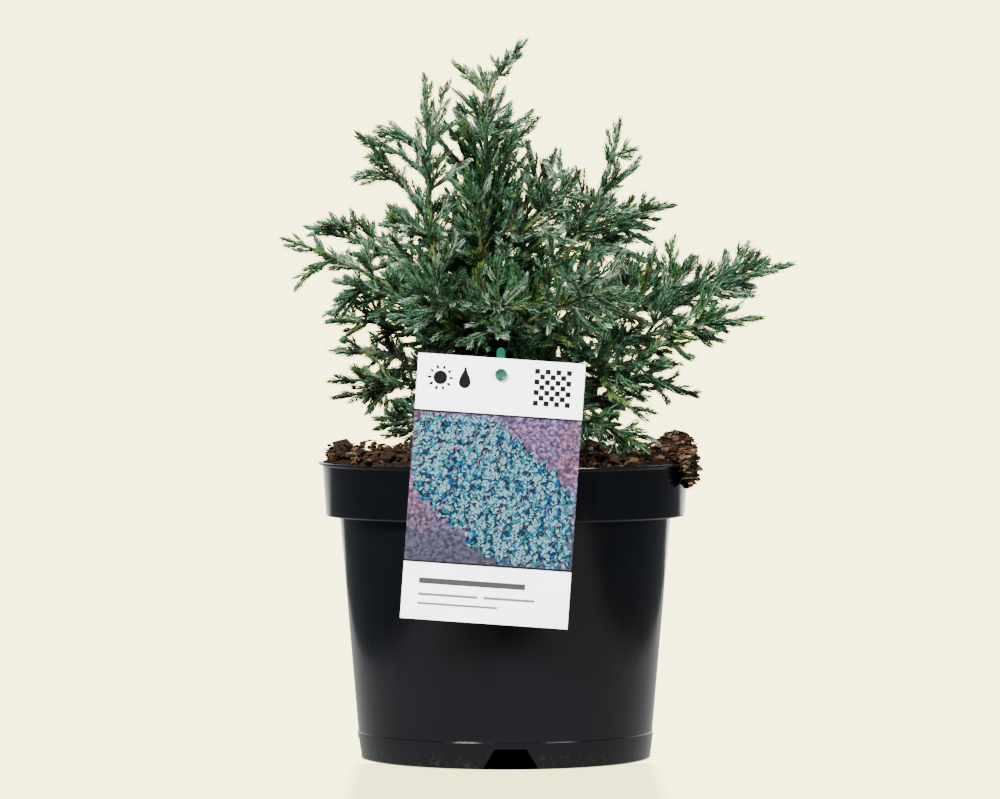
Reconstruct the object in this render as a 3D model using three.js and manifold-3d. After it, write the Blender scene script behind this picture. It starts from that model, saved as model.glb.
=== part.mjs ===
// A young blue sawara cypress in its nursery pot: a short trunk, boughs that spread low
// and rise at their tips, and a mass of soft needle sprays round the end of each bough.
// Millimetres, +Z up, the front of the pot towards -Y. The origin is the centre of the
// pot's flat underside.
import * as THREE from "three";
import { mergeVertices } from "three/addons/utils/BufferGeometryUtils.js";
import Module from "manifold-3d";

const wasm = await Module();
wasm.setup();

// Driving dimensions

const clearance = 0.3;

const pot = {
  height: 150,
  lipRadius: 95,
  lipDepth: 2.6,
  collarRadius: 92.8,
  collarFootRadius: 91,
  collarDepth: 27.4,
  wallTopRadius: 84,
  wallFootRadius: 73.7,
  cornerRadius: 1.6,
  wall: 1.5,
  footWidth: 0.8,
  // The drain channel under the pot, round the flat pad in the middle.
  channelHeight: 10.5,
  padRadius: 34,
  channelSlope: 3,
  floor: 1.6,
  // Notches in the foot and holes in the channel's roof, turned from the front in degrees.
  drains: 4,
  drainTurn: 2,
  notchWidth: 29,
  notchTopWidth: 16,
  notchDepth: 20,
  holeRadius: 5,
  segments: 32,
};

const soil = {
  edgeHeight: 150.6,
  edgeRadius: 90.4,
  crownHeight: 158,
  seatRadius: 11,
  roughness: 2.4,
  rings: 3,
};

// The crumbly lump of peat that rests on the rim, at the right.
const lump = {
  centre: [86.5, -9, 156],
  size: [10, 17, 9.5],
  sagCentre: [91.7, -28, 148],
  sagSize: [5.5, 8, 10],
  roughness: 0.22,
};

// The label's hole is at [x, z], below its top edge. tilt turns it in its own plane, and
// lean tips its foot forwards, both in degrees. It rests on the pot's lip.
const label = {
  width: 82,
  height: 130,
  thickness: 0.5,
  hole: [-2.2, 195.6],
  holeBelowTop: 8,
  holeRadius: 2.4,
  tilt: -4,
  lean: 3,
  offLip: 0.4,
};

// The stake in the soil behind the label, and the pin and round head that hold the label.
const peg = {
  width: 4.3,
  thickness: 2.6,
  point: 8,
  foot: 92,
  above: 13,
  lean: 9,
  offLabel: 2.4,
  pinRadius: 1.7,
  pinLength: 5.9,
  headRadius: 2.95,
  headDepth: 1.5,
};

const trunk = {
  path: [[0, 0, 150], [-1.5, 0, 178], [-5.5, 1, 215], [-9.3, 1.5, 262], [-9.8, 0, 306]],
  foot: 158.3,
  footRadius: 5.6,
  tipRadius: 1.1,
  flare: 3.2,
  flareHeight: 7,
  buttresses: 4,
  buttressDepth: 0.35,
  sides: 8,
  steps: 12,
};

// A mass's stem bears twigs, and each twig ends in a spray and has shorter ones at its
// sides. The solid has every second twig of the real bough, with sprays larger than life.
const growth = {
  twigSpacing: 10.6,
  turn: 137.5,
  turnBetween: 120,
  flatness: 0.7,
  openAtBase: 56,
  openAtTip: 30,
  lift: 0.2,
  lastTwig: 0.8,
  twigTaper: 0.4,
  twigSizes: [1, 0.78, 0.58, 0.42],
  spraySizes: [1, 0.8, 0.6],
  stemPieces: 4,
  stemRadius: 1.25,
  coreRadius: 0.8,
  rootRadius: 0.45,
  neck: 0.34,
  sprayLength: 38,
  sprayRadius: 6.8,
  sprayOpen: 46,
  bareTwig: 0.42,
  sidePlaces: [0.34, 0.19],
  sideSizes: [0.8, 0.7],
  // A twig shorter than this has only one side spray.
  shortTwig: 24,
  ownMargin: 1.3,
};

// Each bough leaves the trunk at a height, towards an azimuth (0 right, 90 back, 180 left,
// 270 front), and its tip is at a distance from the pot's axis (reach) and a height (tip).
// rise and end are its slopes in degrees at the trunk and at the tip, bare the share of it
// that has no needles, and spread the length of its longest twigs. A bare share of 0 is a
// mass that starts at the trunk itself.
const boughs = [
  // name, leaves, azimuth, reach, tip, rise, end, bare, spread
  ["right_long", 196, -4, 144.5, 250, 26, 14, 0.22, 40],
  ["right_shelf", 184, -17, 133, 223, 30, 6, 0.23, 36],
  ["right_shoulder", 236, 9, 86, 280, 40, 10, 0.22, 33],
  ["right_spire", 216, -24, 63, 322, 40, 80, 0.26, 27],
  ["right_skirt", 173, 7, 106, 189, 24, -6, 0.26, 30],
  ["left_long", 206, 183, 112, 263, 30, 18, 0.27, 28],
  ["left_droop", 198, 193, 111, 239, 34, -14, 0.26, 27],
  ["left_shoulder", 226, 166, 103, 269, 34, 12, 0.24, 31],
  ["left_high", 238, 188, 79, 294, 34, 34, 0.24, 27],
  ["left_crest", 214, 204, 80, 315, 50, 38, 0.28, 27],
  ["left_spire", 182, 212, 48, 344, 34, 84, 0.32, 26],
  ["left_shelf", 190, 176, 90, 221, 30, -8, 0.27, 30],
  ["left_lower", 181, 158, 95, 206, 26, -2, 0.27, 28],
  ["left_skirt", 173, 187, 88, 191, 24, -4, 0.28, 26],
  ["front_left", 205, 238, 88, 240, 34, 12, 0.23, 35],
  ["front_middle", 200, 266, 83, 231, 36, 8, 0.23, 34],
  ["front_right", 206, 304, 97, 238, 32, 8, 0.23, 37],
  ["front_right_low", 180, 324, 100, 199, 24, -6, 0.26, 31],
  ["back_left", 210, 131, 97, 246, 32, 12, 0.23, 37],
  ["back_middle", 203, 94, 99, 238, 32, 8, 0.23, 37],
  ["back_right", 208, 52, 108, 243, 32, 10, 0.23, 37],
  ["back_left_skirt", 179, 124, 89, 197, 24, -4, 0.26, 31],
  ["back_right_skirt", 177, 68, 91, 194, 24, -4, 0.26, 31],
  ["right_crest", 244, 56, 46, 308, 54, 66, 0, 25],
  ["front_left_crest", 236, 246, 46, 296, 50, 52, 0, 27],
  ["front_right_crest", 246, 311, 55, 295, 46, 46, 0, 28],
  ["back_crest", 248, 118, 46, 302, 48, 56, 0, 26],
  ["right_foot", 167, 33, 91, 174, 26, -12, 0, 26],
  ["front_right_foot", 167, 318, 93, 158, 34, -24, 0, 24],
  ["left_foot", 166, 214, 77, 168, 28, -10, 0, 23],
].map(([name, leaves, azimuth, reach, tip, rise, end, bare, spread]) => (
  { name, leaves, azimuth, reach, tip, rise, end, bare, spread }
));
const boughRadius = { root: 1.5, perReach: 0.006, tip: 1.05, sides: 5, stepLength: 12 };

// The top of the plant: the stem beyond the trunk's tip.
const leader = {
  name: "leader",
  azimuth: 0,
  bare: 0,
  path: [[-9.8, 0, 306], [-9.6, 0, 322], [-6, 0, 342], [10, -1, 363]],
  spread: 27,
};

const finish = {
  pot: new THREE.MeshStandardMaterial({ color: 0x17191c, roughness: 0.35, metalness: 0 }),
  soil: new THREE.MeshStandardMaterial({ color: 0x3a2418, roughness: 0.95, metalness: 0 }),
  bark: new THREE.MeshStandardMaterial({ color: 0x7a5a3a, roughness: 0.85, metalness: 0 }),
  needles: new THREE.MeshStandardMaterial({ color: 0x3f6f5c, roughness: 0.65, metalness: 0 }),
  label: new THREE.MeshStandardMaterial({ color: 0xf2f2f4, roughness: 0.4, metalness: 0 }),
  peg: new THREE.MeshStandardMaterial({ color: 0x1f9a7c, roughness: 0.4, metalness: 0 }),
};

// Tools for shapes

const radians = THREE.MathUtils.degToRad;
const mix = THREE.MathUtils.lerp;
const up = new THREE.Vector3(0, 0, 1);

// A repeatable number from 0 to 1 for up to three keys.
function chance(a, b = 0, c = 0) {
  const wave = Math.sin(a * 12.9898 + b * 78.233 + c * 37.719) * 43758.5453;
  return wave - Math.floor(wave);
}

// A closed skin over rings of points, from first to last. A ring of one point is a tip,
// and an open end ring is capped. Each ring runs anticlockwise seen from the last.
function skin(rings) {
  const points = [];
  const starts = rings.map((ring) => points.push(...ring) - ring.length);
  const faces = [];
  for (let r = 0; r + 1 < rings.length; r++) {
    const [here, next] = [rings[r].length, rings[r + 1].length];
    const sides = Math.max(here, next);
    for (let j = 0; j < sides; j++) {
      const k = (j + 1) % sides;
      const [a, b] = [starts[r] + (here > 1 ? j : 0), starts[r] + (here > 1 ? k : 0)];
      const [d, c] = [starts[r + 1] + (next > 1 ? j : 0), starts[r + 1] + (next > 1 ? k : 0)];
      if (a !== b) faces.push(a, b, c);
      if (c !== d) faces.push(a, c, d);
    }
  }
  const cap = (start, count, outward) => {
    for (let j = 1; j + 1 < count; j++) {
      faces.push(start, start + (outward ? j : j + 1), start + (outward ? j + 1 : j));
    }
  };
  cap(starts[0], rings[0].length, false);
  cap(starts[rings.length - 1], rings[rings.length - 1].length, true);
  const geometry = new THREE.BufferGeometry().setFromPoints(points);
  return geometry.setIndex(faces);
}

// A tapering tube along a curve. radiusAt takes the share of the length and the angle.
function limb(curve, radiusAt, sides, steps) {
  const { normals, binormals } = curve.computeFrenetFrames(steps, false);
  const rings = [];
  for (let i = 0; i <= steps; i++) {
    const share = i / steps;
    const centre = curve.getPointAt(share);
    const ring = [];
    for (let j = 0; j < sides; j++) {
      const angle = (2 * Math.PI * j) / sides;
      const radius = radiusAt(share, angle);
      ring.push(
        centre.clone()
          .addScaledVector(normals[i], radius * Math.cos(angle))
          .addScaledVector(binormals[i], radius * Math.sin(angle)),
      );
    }
    rings.push(ring);
  }
  return skin(rings);
}

// A solid that can be joined and cut, from a closed geometry.
function solidOf(geometry) {
  const bare = new THREE.BufferGeometry().setAttribute("position", geometry.getAttribute("position"));
  const merged = mergeVertices(bare.setIndex(geometry.index), 1e-4);
  const triVerts = new Uint32Array(merged.index.array);
  return new wasm.Manifold(
    new wasm.Mesh({ numProp: 3, vertProperties: merged.attributes.position.array, triVerts }),
  );
}

// The largest body of a solid, which drops loose scraps and sealed hollows.
function largestBody(solid) {
  return solid.decompose().reduce((a, b) => (b.volume() > a.volume() ? b : a));
}

function geometryOf(solid) {
  const { vertProperties, triVerts } = solid.getMesh();
  return new THREE.BufferGeometry()
    .setAttribute("position", new THREE.BufferAttribute(new Float32Array(vertProperties), 3))
    .setIndex(new THREE.BufferAttribute(new Uint32Array(triVerts), 1));
}

const part = new THREE.Group();

function addPiece(name, geometry, material, holder = part) {
  const mesh = new THREE.Mesh(geometry.index ? geometry.toNonIndexed() : geometry, material);
  mesh.geometry.computeVertexNormals();
  mesh.name = name;
  holder.add(mesh);
  return mesh;
}

// A profile of [radius, height] pairs turned round the vertical axis.
function turned(profile, segments) {
  const points = profile.map(([radius, height]) => new THREE.Vector2(radius, height));
  return new THREE.LatheGeometry(points, segments).rotateX(Math.PI / 2);
}

// The pot

// The outer wall's radius at a height, between its foot and the collar.
function wallRadius(height) {
  const top = pot.height - pot.collarDepth;
  return mix(pot.wallFootRadius, pot.wallTopRadius, (height - pot.cornerRadius) / (top - pot.cornerRadius));
}

function potProfile() {
  const collarFoot = pot.height - pot.collarDepth;
  const lipFoot = pot.height - pot.lipDepth;
  const cornerCentre = pot.wallFootRadius - pot.cornerRadius;
  const floorTop = pot.channelHeight + pot.floor;
  const corner = [0, 45, 90].map((degrees) => [
    cornerCentre + pot.cornerRadius * Math.sin(radians(degrees)),
    pot.cornerRadius - pot.cornerRadius * Math.cos(radians(degrees)),
  ]);
  const underside = [
    [0, 0],
    [pot.padRadius, 0],
    [pot.padRadius + pot.channelSlope, pot.channelHeight],
    [wallRadius(pot.channelHeight) - pot.wall, pot.channelHeight],
    [cornerCentre - pot.footWidth, 0],
  ];
  const outside = [
    [pot.wallTopRadius, collarFoot],
    [pot.collarFootRadius, collarFoot],
    [pot.collarRadius, lipFoot],
    [pot.lipRadius, lipFoot + 1],
    [pot.lipRadius, pot.height],
  ];
  const inside = [
    [pot.collarRadius - pot.wall, pot.height],
    [pot.collarFootRadius - pot.wall, collarFoot + pot.wall],
    [pot.wallTopRadius - pot.wall, collarFoot + pot.wall],
    [wallRadius(floorTop) - pot.wall, floorTop],
    [pot.padRadius + pot.channelSlope - 1, floorTop],
    [pot.padRadius - 1, pot.floor],
    [0, pot.floor],
  ];
  return [...underside, ...corner, ...outside, ...inside];
}

// A drain notch at the front of the foot: a trapezium that runs out through the wall.
function notchGeometry() {
  const below = 1;
  const [foot, top] = [pot.notchWidth / 2, pot.notchTopWidth / 2];
  const outline = new THREE.Shape([
    new THREE.Vector2(-foot, -below),
    new THREE.Vector2(foot, -below),
    new THREE.Vector2(top, pot.channelHeight - 0.1),
    new THREE.Vector2(-top, pot.channelHeight - 0.1),
  ]);
  return new THREE.ExtrudeGeometry(outline, { depth: pot.notchDepth, bevelEnabled: false })
    .rotateX(Math.PI / 2)
    .translate(0, pot.cornerRadius + pot.notchDepth / 2 - pot.wallFootRadius, 0);
}

function makePot() {
  let solid = solidOf(turned(potProfile(), pot.segments));
  const channelMiddle = (pot.padRadius + pot.wallFootRadius) / 2;
  for (let i = 0; i < pot.drains; i++) {
    const azimuth = (2 * Math.PI * i) / pot.drains + radians(pot.drainTurn);
    const hole = new THREE.CylinderGeometry(pot.holeRadius, pot.holeRadius, 8, 10)
      .rotateX(Math.PI / 2)
      .translate(0, -channelMiddle, pot.channelHeight)
      .rotateZ(azimuth);
    solid = solid.subtract(solidOf(notchGeometry().rotateZ(azimuth))).subtract(solidOf(hole));
  }
  addPiece("pot", geometryOf(solid), finish.pot);
}

// The soil

// The smooth height of the soil at a distance from the axis.
function soilHeight(radius) {
  const share = Math.min(radius / soil.edgeRadius, 1);
  return mix(soil.crownHeight, soil.edgeHeight, share ** 2.2);
}

// A ring of points round the axis. offset gives each point's shift outwards and upwards.
function circle(radius, height, offset = () => [0, 0]) {
  return Array.from({ length: pot.segments }, (_, j) => {
    const angle = (2 * Math.PI * j) / pot.segments;
    const [outward, upward] = offset(j);
    const reach = radius + outward;
    return new THREE.Vector3(reach * Math.cos(angle), reach * Math.sin(angle), height + upward);
  });
}

// A rough lump: a ball whose points are pushed in and out.
function roughBall(centre, size, roughness, seed) {
  const facets = new THREE.IcosahedronGeometry(1, 1).deleteAttribute("normal").deleteAttribute("uv");
  const ball = mergeVertices(facets);
  const place = ball.getAttribute("position");
  const point = new THREE.Vector3();
  for (let i = 0; i < place.count; i++) {
    point.fromBufferAttribute(place, i);
    point.multiplyScalar(1 + roughness * (chance(i, seed) - 0.5) * 2);
    point.multiply(new THREE.Vector3(...size)).add(new THREE.Vector3(...centre));
    place.setXYZ(i, ...point);
  }
  return ball;
}

// The pot's rim and collar, drawn out by the clearance, to cut what hangs over them.
function rimClearance() {
  const collarFoot = pot.height - pot.collarDepth;
  const below = collarFoot - 20;
  const inner = pot.wall + clearance;
  return turned(
    [
      [pot.wallTopRadius - inner, below],
      [pot.wallTopRadius + clearance, below],
      [pot.wallTopRadius + clearance, collarFoot - clearance],
      [pot.collarFootRadius + clearance, collarFoot - clearance],
      [pot.lipRadius + clearance, pot.height - pot.lipDepth - 1],
      [pot.lipRadius + clearance, pot.height + clearance],
      [pot.collarRadius - inner, pot.height + clearance],
      [pot.collarFootRadius - inner, collarFoot + pot.wall],
      [pot.wallTopRadius - inner, collarFoot + pot.wall - clearance],
      [pot.wallTopRadius - inner, below],
    ],
    pot.segments,
  );
}

function makeSoil(pegClearance) {
  const step = pot.height - pot.collarDepth + pot.wall + 2;
  const floorTop = pot.channelHeight + pot.floor + clearance;
  const inner = pot.wall + clearance;
  const pad = pot.padRadius - 1 - clearance;
  const rings = [
    [new THREE.Vector3(0, 0, pot.floor + clearance)],
    circle(pad, pot.floor + clearance),
    circle(pad + pot.channelSlope, floorTop),
    circle(wallRadius(floorTop) - inner, floorTop),
    circle(pot.wallTopRadius - inner, step),
    circle(pot.collarFootRadius - inner, step),
    circle(soil.edgeRadius, soil.edgeHeight - 1.4),
  ];
  for (let i = 0; i < soil.rings; i++) {
    const radius = mix(soil.edgeRadius - 2, soil.seatRadius, i / soil.rings);
    rings.push(circle(radius, soilHeight(radius), (j) => [
      soil.roughness * 1.5 * (chance(i, j, 1) - 0.5),
      soil.roughness * (chance(i, j, 2) - 0.35),
    ]));
  }
  rings.push(circle(soil.seatRadius, soil.crownHeight), [new THREE.Vector3(0, 0, soil.crownHeight)]);
  const heap = solidOf(roughBall(lump.centre, lump.size, lump.roughness, 3))
    .add(solidOf(roughBall(lump.sagCentre, lump.sagSize, lump.roughness, 8)))
    .subtract(solidOf(rimClearance()));
  const solid = solidOf(skin(rings)).add(heap).subtract(pegClearance);
  addPiece("soil", geometryOf(largestBody(solid)), finish.soil);
}

// The label on its peg

const labelBack = -pot.lipRadius - label.offLip;
const holePlace = new THREE.Vector3(
  label.hole[0],
  labelBack + (label.hole[1] - pot.height) * Math.tan(radians(label.lean)),
  label.hole[1],
);

function makeLabel() {
  const top = label.holeBelowTop;
  const outline = new THREE.Shape([
    new THREE.Vector2(-label.width / 2, top - label.height),
    new THREE.Vector2(label.width / 2, top - label.height),
    new THREE.Vector2(label.width / 2, top),
    new THREE.Vector2(-label.width / 2, top),
  ]);
  outline.holes.push(new THREE.Path().absarc(0, 0, label.holeRadius, 0, 2 * Math.PI, true));
  const sheet = new THREE.ExtrudeGeometry(outline, {
    depth: label.thickness,
    bevelEnabled: false,
    curveSegments: 12,
  });
  const holder = new THREE.Group();
  holder.position.copy(holePlace);
  holder.rotation.x = Math.PI / 2 - radians(label.lean);
  part.add(holder);
  addPiece("label", sheet, finish.label, holder).rotation.z = radians(label.tilt);
}

// The flat stake, with a rounded top and a pointed foot, drawn out by grow on every side.
function stake(grow) {
  const half = peg.width / 2 + grow;
  const length = label.hole[1] - peg.foot;
  const roundFrom = peg.above - peg.width / 2;
  const outline = new THREE.Shape()
    .moveTo(0, -length - grow)
    .lineTo(half, peg.point - length)
    .lineTo(half, roundFrom)
    .absarc(0, roundFrom, half, 0, Math.PI)
    .lineTo(-half, peg.point - length);
  const depth = peg.thickness + 2 * grow;
  return new THREE.ExtrudeGeometry(outline, { depth, bevelEnabled: false, curveSegments: 4 })
    .translate(0, 0, grow - depth)
    .rotateX(Math.PI / 2 + radians(peg.lean))
    .translate(holePlace.x, holePlace.y + peg.offLabel, holePlace.z);
}

function makePeg() {
  // A disc or a pin square to the label, centred at a depth in front of the label's back.
  const acrossLabel = (radius, length, depth) =>
    new THREE.CylinderGeometry(radius, radius, length, 12)
      .rotateX(Math.PI / 2)
      .translate(0, 0, depth)
      .rotateX(Math.PI / 2 - radians(label.lean))
      .translate(...holePlace);
  const headFoot = label.thickness + clearance;
  const pinEnd = headFoot + peg.headDepth / 2;
  const solid = solidOf(stake(0))
    .add(solidOf(acrossLabel(peg.pinRadius, peg.pinLength, pinEnd - peg.pinLength / 2)))
    .add(solidOf(acrossLabel(peg.headRadius, peg.headDepth, headFoot + peg.headDepth / 2)));
  addPiece("label_peg", geometryOf(largestBody(solid)), finish.peg);
}

// The trunk and the boughs

const trunkCurve = new THREE.CatmullRomCurve3(trunk.path.map((point) => new THREE.Vector3(...point)));

// All that lies below the flat cut at the trunk's foot.
const groundCutter = solidOf(new THREE.BoxGeometry(60, 60, 60).translate(0, 0, trunk.foot - 30));

// The trunk's shape. grow draws it out to cut what meets it.
function trunkSolid(grow = 0) {
  const length = trunkCurve.getLength();
  const radiusAt = (share, angle) => {
    const above = Math.max(share * length + trunk.path[0][2] - trunk.foot, 0);
    const flare = trunk.flare * Math.exp(-above / trunk.flareHeight);
    const lobes = 1 + trunk.buttressDepth * Math.cos(trunk.buttresses * angle);
    return mix(trunk.footRadius, trunk.tipRadius, share ** 0.8) + flare * lobes + grow;
  };
  return solidOf(limb(trunkCurve, radiusAt, trunk.sides, trunk.steps)).subtract(groundCutter);
}

// The trunk's centre at a height.
function trunkCentre(height) {
  const [foot, tip] = [trunk.path[0][2], trunk.path[trunk.path.length - 1][2]];
  return trunkCurve.getPointAt((height - foot) / (tip - foot));
}

// A bough's whole centreline, from inside the trunk to the tip of its mass.
function boughCurve(bough) {
  const azimuth = radians(bough.azimuth);
  const outward = new THREE.Vector3(Math.cos(azimuth), Math.sin(azimuth), 0);
  const root = trunkCentre(bough.leaves);
  const tip = outward.clone().multiplyScalar(bough.reach).setZ(bough.tip);
  const across = tip.clone().sub(root).setZ(0).normalize();
  const pull = root.distanceTo(tip) * 0.38;
  const slope = (degrees) => {
    const angle = radians(degrees);
    return across.clone().multiplyScalar(Math.cos(angle)).setZ(Math.sin(angle));
  };
  return new THREE.CubicBezierCurve3(
    root,
    root.clone().addScaledVector(slope(bough.rise), pull),
    tip.clone().addScaledVector(slope(bough.end), -pull),
    tip,
  );
}

// The stretch of a curve between two shares of its length.
class Stretch extends THREE.Curve {
  constructor(curve, from, to) {
    super();
    Object.assign(this, { curve, from, to });
  }
  getPoint(share, target = new THREE.Vector3()) {
    return this.curve.getPointAt(mix(this.from, this.to, share), target);
  }
}

const trunkCutter = trunkSolid(clearance);

function makeBough(bough) {
  const length = bough.curve.getLength();
  const reach = new Stretch(bough.curve, 0, bough.bare);
  const rootRadius = boughRadius.root + boughRadius.perReach * bough.reach;
  const steps = Math.max(3, Math.round((length * bough.bare) / boughRadius.stepLength));
  const shape = limb(reach, (share) => mix(rootRadius, boughRadius.tip, share), boughRadius.sides, steps);
  const solid = solidOf(shape).subtract(trunkCutter);
  addPiece(`bough_${bough.name}`, geometryOf(largestBody(solid)), finish.bark);
}

// The masses of foliage

// A three-sided stalk along a curve, through rings of [share, radius, turn in degrees]. A
// radius of 0 is a point.
function stalk(curve, rings, reference) {
  return skin(rings.map(([share, radius, turn = 0]) => {
    const centre = curve.getPoint(share);
    if (radius === 0) return [centre];
    const along = curve.getTangent(share);
    const side = new THREE.Vector3().crossVectors(along, reference).normalize();
    const other = new THREE.Vector3().crossVectors(along, side);
    return [0, 120, 240].map((degrees) => {
      const angle = radians(degrees + turn);
      return centre.clone()
        .addScaledVector(side, radius * Math.cos(angle))
        .addScaledVector(other, radius * Math.sin(angle));
    });
  }));
}

// The rings of needles that end a stalk from a share on: two whorls of three points that
// stand out of a slim core, and a tip.
function needleRings(from, radius) {
  const at = (share) => mix(from, 1, share);
  return [
    [at(0.36), radius, 0],
    [at(0.32), radius * growth.neck, -60],
    [at(0.7), radius * 0.85, -60],
    [1, 0],
  ];
}

// A level or steady direction that a stalk's rings are turned by.
function referenceFor(along) {
  return Math.abs(along.z) < 0.9 ? up : new THREE.Vector3(1, 0, 0);
}

// Distance from a point to a chain of points.
const nearest = new THREE.Vector3();
const line = new THREE.Line3();
function distanceTo(chain, point) {
  let least = Infinity;
  for (let i = 0; i + 1 < chain.length; i++) {
    line.set(chain[i], chain[i + 1]).closestPointToPoint(point, true, nearest);
    least = Math.min(least, nearest.distanceTo(point));
  }
  return least;
}

// Each mass keeps to the space that is nearer to its own bough than to any other, stays
// behind the plane through its tip, and clear of the soil, the rim, the label and its peg.
const lumpCentre = new THREE.Vector3(...lump.centre);
const soilMargin = 3.2;
function inOwnSpace(mass, masses, point) {
  const radius = Math.hypot(point.x, point.y);
  const overPot = radius < pot.lipRadius + soilMargin;
  if (overPot && point.z < Math.max(soilHeight(radius), pot.height) + soilMargin) return false;
  if (overPot && point.distanceTo(lumpCentre) < lump.size[1] + soilMargin) return false;
  const behindLabel = Math.abs(point.x) < label.width * 0.6 && point.z < label.hole[1] + peg.above + 5;
  if (behindLabel && point.y < holePlace.y + 7) return false;
  if (point.clone().sub(mass.tipPoint).dot(mass.tipHeading) > 0.5) return false;
  const own = distanceTo(mass.chain, point);
  return masses.every((other) => other === mass || distanceTo(other.chain, point) > own + growth.ownMargin);
}

// Clear of the trunk, of the bare boughs and of the peg, all the way from one point to another.
function clearOfLimbs(limbs, from, to, radius) {
  const place = new THREE.Vector3();
  return [0.15, 0.35, 0.55, 0.75, 0.9, 1].every((share) => {
    place.lerpVectors(from, to, share);
    return limbs.every((bare) => distanceTo(bare.chain, place) > bare.radius + radius + 0.4);
  });
}

function pointsOf(geometry) {
  const place = geometry.getAttribute("position");
  return Array.from({ length: place.count }, (_, i) => new THREE.Vector3().fromBufferAttribute(place, i));
}

// The twigs of a mass: where each one's root is on the stem, its direction and its length.
function twigPlan(mass, index) {
  const length = mass.curve.getLength() * (1 - mass.start);
  const count = 2 * Math.max(2, Math.round(length / growth.twigSpacing / 2));
  const azimuth = radians(mass.azimuth);
  const side = new THREE.Vector3(-Math.sin(azimuth), Math.cos(azimuth), 0);
  return Array.from({ length: count }, (_, k) => {
    const share = (k + 0.35 + 0.3 * chance(index, k, 1)) / count;
    const place = mix(mass.start, mix(mass.start, 1, growth.lastTwig), share);
    const along = mass.curve.getTangentAt(place);
    const top = new THREE.Vector3().crossVectors(along, side);
    const turn = radians(k * growth.turn + index * growth.turnBetween);
    const outward = side.clone().multiplyScalar(Math.cos(turn))
      .addScaledVector(top, Math.sin(turn) * growth.flatness).normalize();
    const open = radians(mix(growth.openAtBase, growth.openAtTip, share) + 10 * (chance(index, k, 2) - 0.5));
    const heading = along.clone().multiplyScalar(Math.cos(open)).addScaledVector(outward, Math.sin(open));
    const bend = heading.clone().addScaledVector(along, 0.35).addScaledVector(up, growth.lift).normalize();
    const length = mass.spread * mix(1, growth.twigTaper, share) * (0.84 + 0.32 * chance(index, k, 3));
    return { share: share * growth.lastTwig, heading, bend, outward, length };
  });
}

// The chord of a curve between two of its shares, at a share of the whole curve.
function onChord(curve, from, to, share) {
  return curve.getPoint(from).lerp(curve.getPoint(to), (share - from) / (to - from));
}

function growMass(mass, index, masses, limbs) {
  const stem = new Stretch(mass.curve, mass.start, 1);
  const azimuth = radians(mass.azimuth);
  const horizontal = new THREE.Vector3(-Math.sin(azimuth), Math.cos(azimuth), 0);
  const bareStem = Math.max(growth.lastTwig, 1 - growth.sprayLength / stem.getLength());
  const pieceEnd = (n) => (bareStem * n) / growth.stemPieces;
  const rings = Array.from({ length: growth.stemPieces + 1 }, (_, n) => [
    pieceEnd(n),
    mix(growth.stemRadius, growth.coreRadius, n / growth.stemPieces),
  ]);
  rings.push(...needleRings(bareStem, growth.sprayRadius));
  let solid = solidOf(stalk(stem, rings, horizontal));
  const fits = (points) => points.every((point) => inOwnSpace(mass, masses, point));

  const addSpray = (root, along, size) => {
    for (const scale of growth.spraySizes) {
      const reach = growth.sprayLength * size * scale;
      const radius = growth.sprayRadius * scale;
      const end = root.clone().addScaledVector(along, reach);
      const axis = new THREE.LineCurve3(root, end);
      const shape = stalk(axis, [[0, 0], ...needleRings(0, radius)], referenceFor(along));
      const from = root.clone().addScaledVector(along, reach * 0.3);
      if (!fits(pointsOf(shape).slice(1)) || !clearOfLimbs(limbs, from, end, radius)) continue;
      solid = solid.add(solidOf(shape));
      return;
    }
  };

  const plan = twigPlan(mass, index).filter((_, k) => k % 2 === 1);
  for (const { share, heading, bend, outward, length } of plan) {
    const piece = Math.min(Math.floor((share / bareStem) * growth.stemPieces), growth.stemPieces - 1);
    const root = onChord(stem, pieceEnd(piece), pieceEnd(piece + 1), share);
    for (const scale of growth.twigSizes) {
      const reach = length * scale;
      const middle = root.clone().addScaledVector(heading, reach / 2);
      const tip = middle.clone().addScaledVector(bend, reach / 2);
      const twig = new THREE.QuadraticBezierCurve3(root, middle, tip);
      const radius = growth.sprayRadius * Math.min(1, Math.sqrt(scale));
      const core = [[0, growth.rootRadius], [growth.bareTwig, growth.coreRadius]];
      const shape = stalk(twig, [...core, ...needleRings(growth.bareTwig, radius)], referenceFor(heading));
      if (!fits(pointsOf(shape).slice(3))) continue;
      if (!clearOfLimbs(limbs, twig.getPoint(0.2), tip, growth.coreRadius + 1)) continue;
      solid = solid.add(solidOf(shape));
      const sideways = new THREE.Vector3().crossVectors(outward, heading).normalize();
      const sides = reach < growth.shortTwig ? 1 : 2;
      growth.sidePlaces.slice(0, sides).forEach((at, n) => {
        const open = radians(growth.sprayOpen) * (n % 2 ? -1 : 1);
        const along = twig.getTangent(at).multiplyScalar(Math.cos(open))
          .addScaledVector(sideways, Math.sin(open)).normalize();
        addSpray(onChord(twig, 0, growth.bareTwig, at), along, growth.sideSizes[n]);
      });
      break;
    }
  }
  if (mass.fromTrunk) solid = solid.subtract(trunkCutter);
  addPiece(`foliage_${mass.name}`, geometryOf(largestBody(solid)), finish.needles);
}

// Assembly

function chainOf(curve, from = 0, to = 1, steps = 14) {
  return Array.from({ length: steps + 1 }, (_, i) => curve.getPointAt(mix(from, to, i / steps)));
}

makePot();
makeSoil(solidOf(stake(clearance)));
makeLabel();
makePeg();
addPiece("trunk", geometryOf(trunkSolid()), finish.bark);

for (const bough of boughs) bough.curve = boughCurve(bough);
boughs.filter((bough) => bough.bare > 0).forEach(makeBough);

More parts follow.
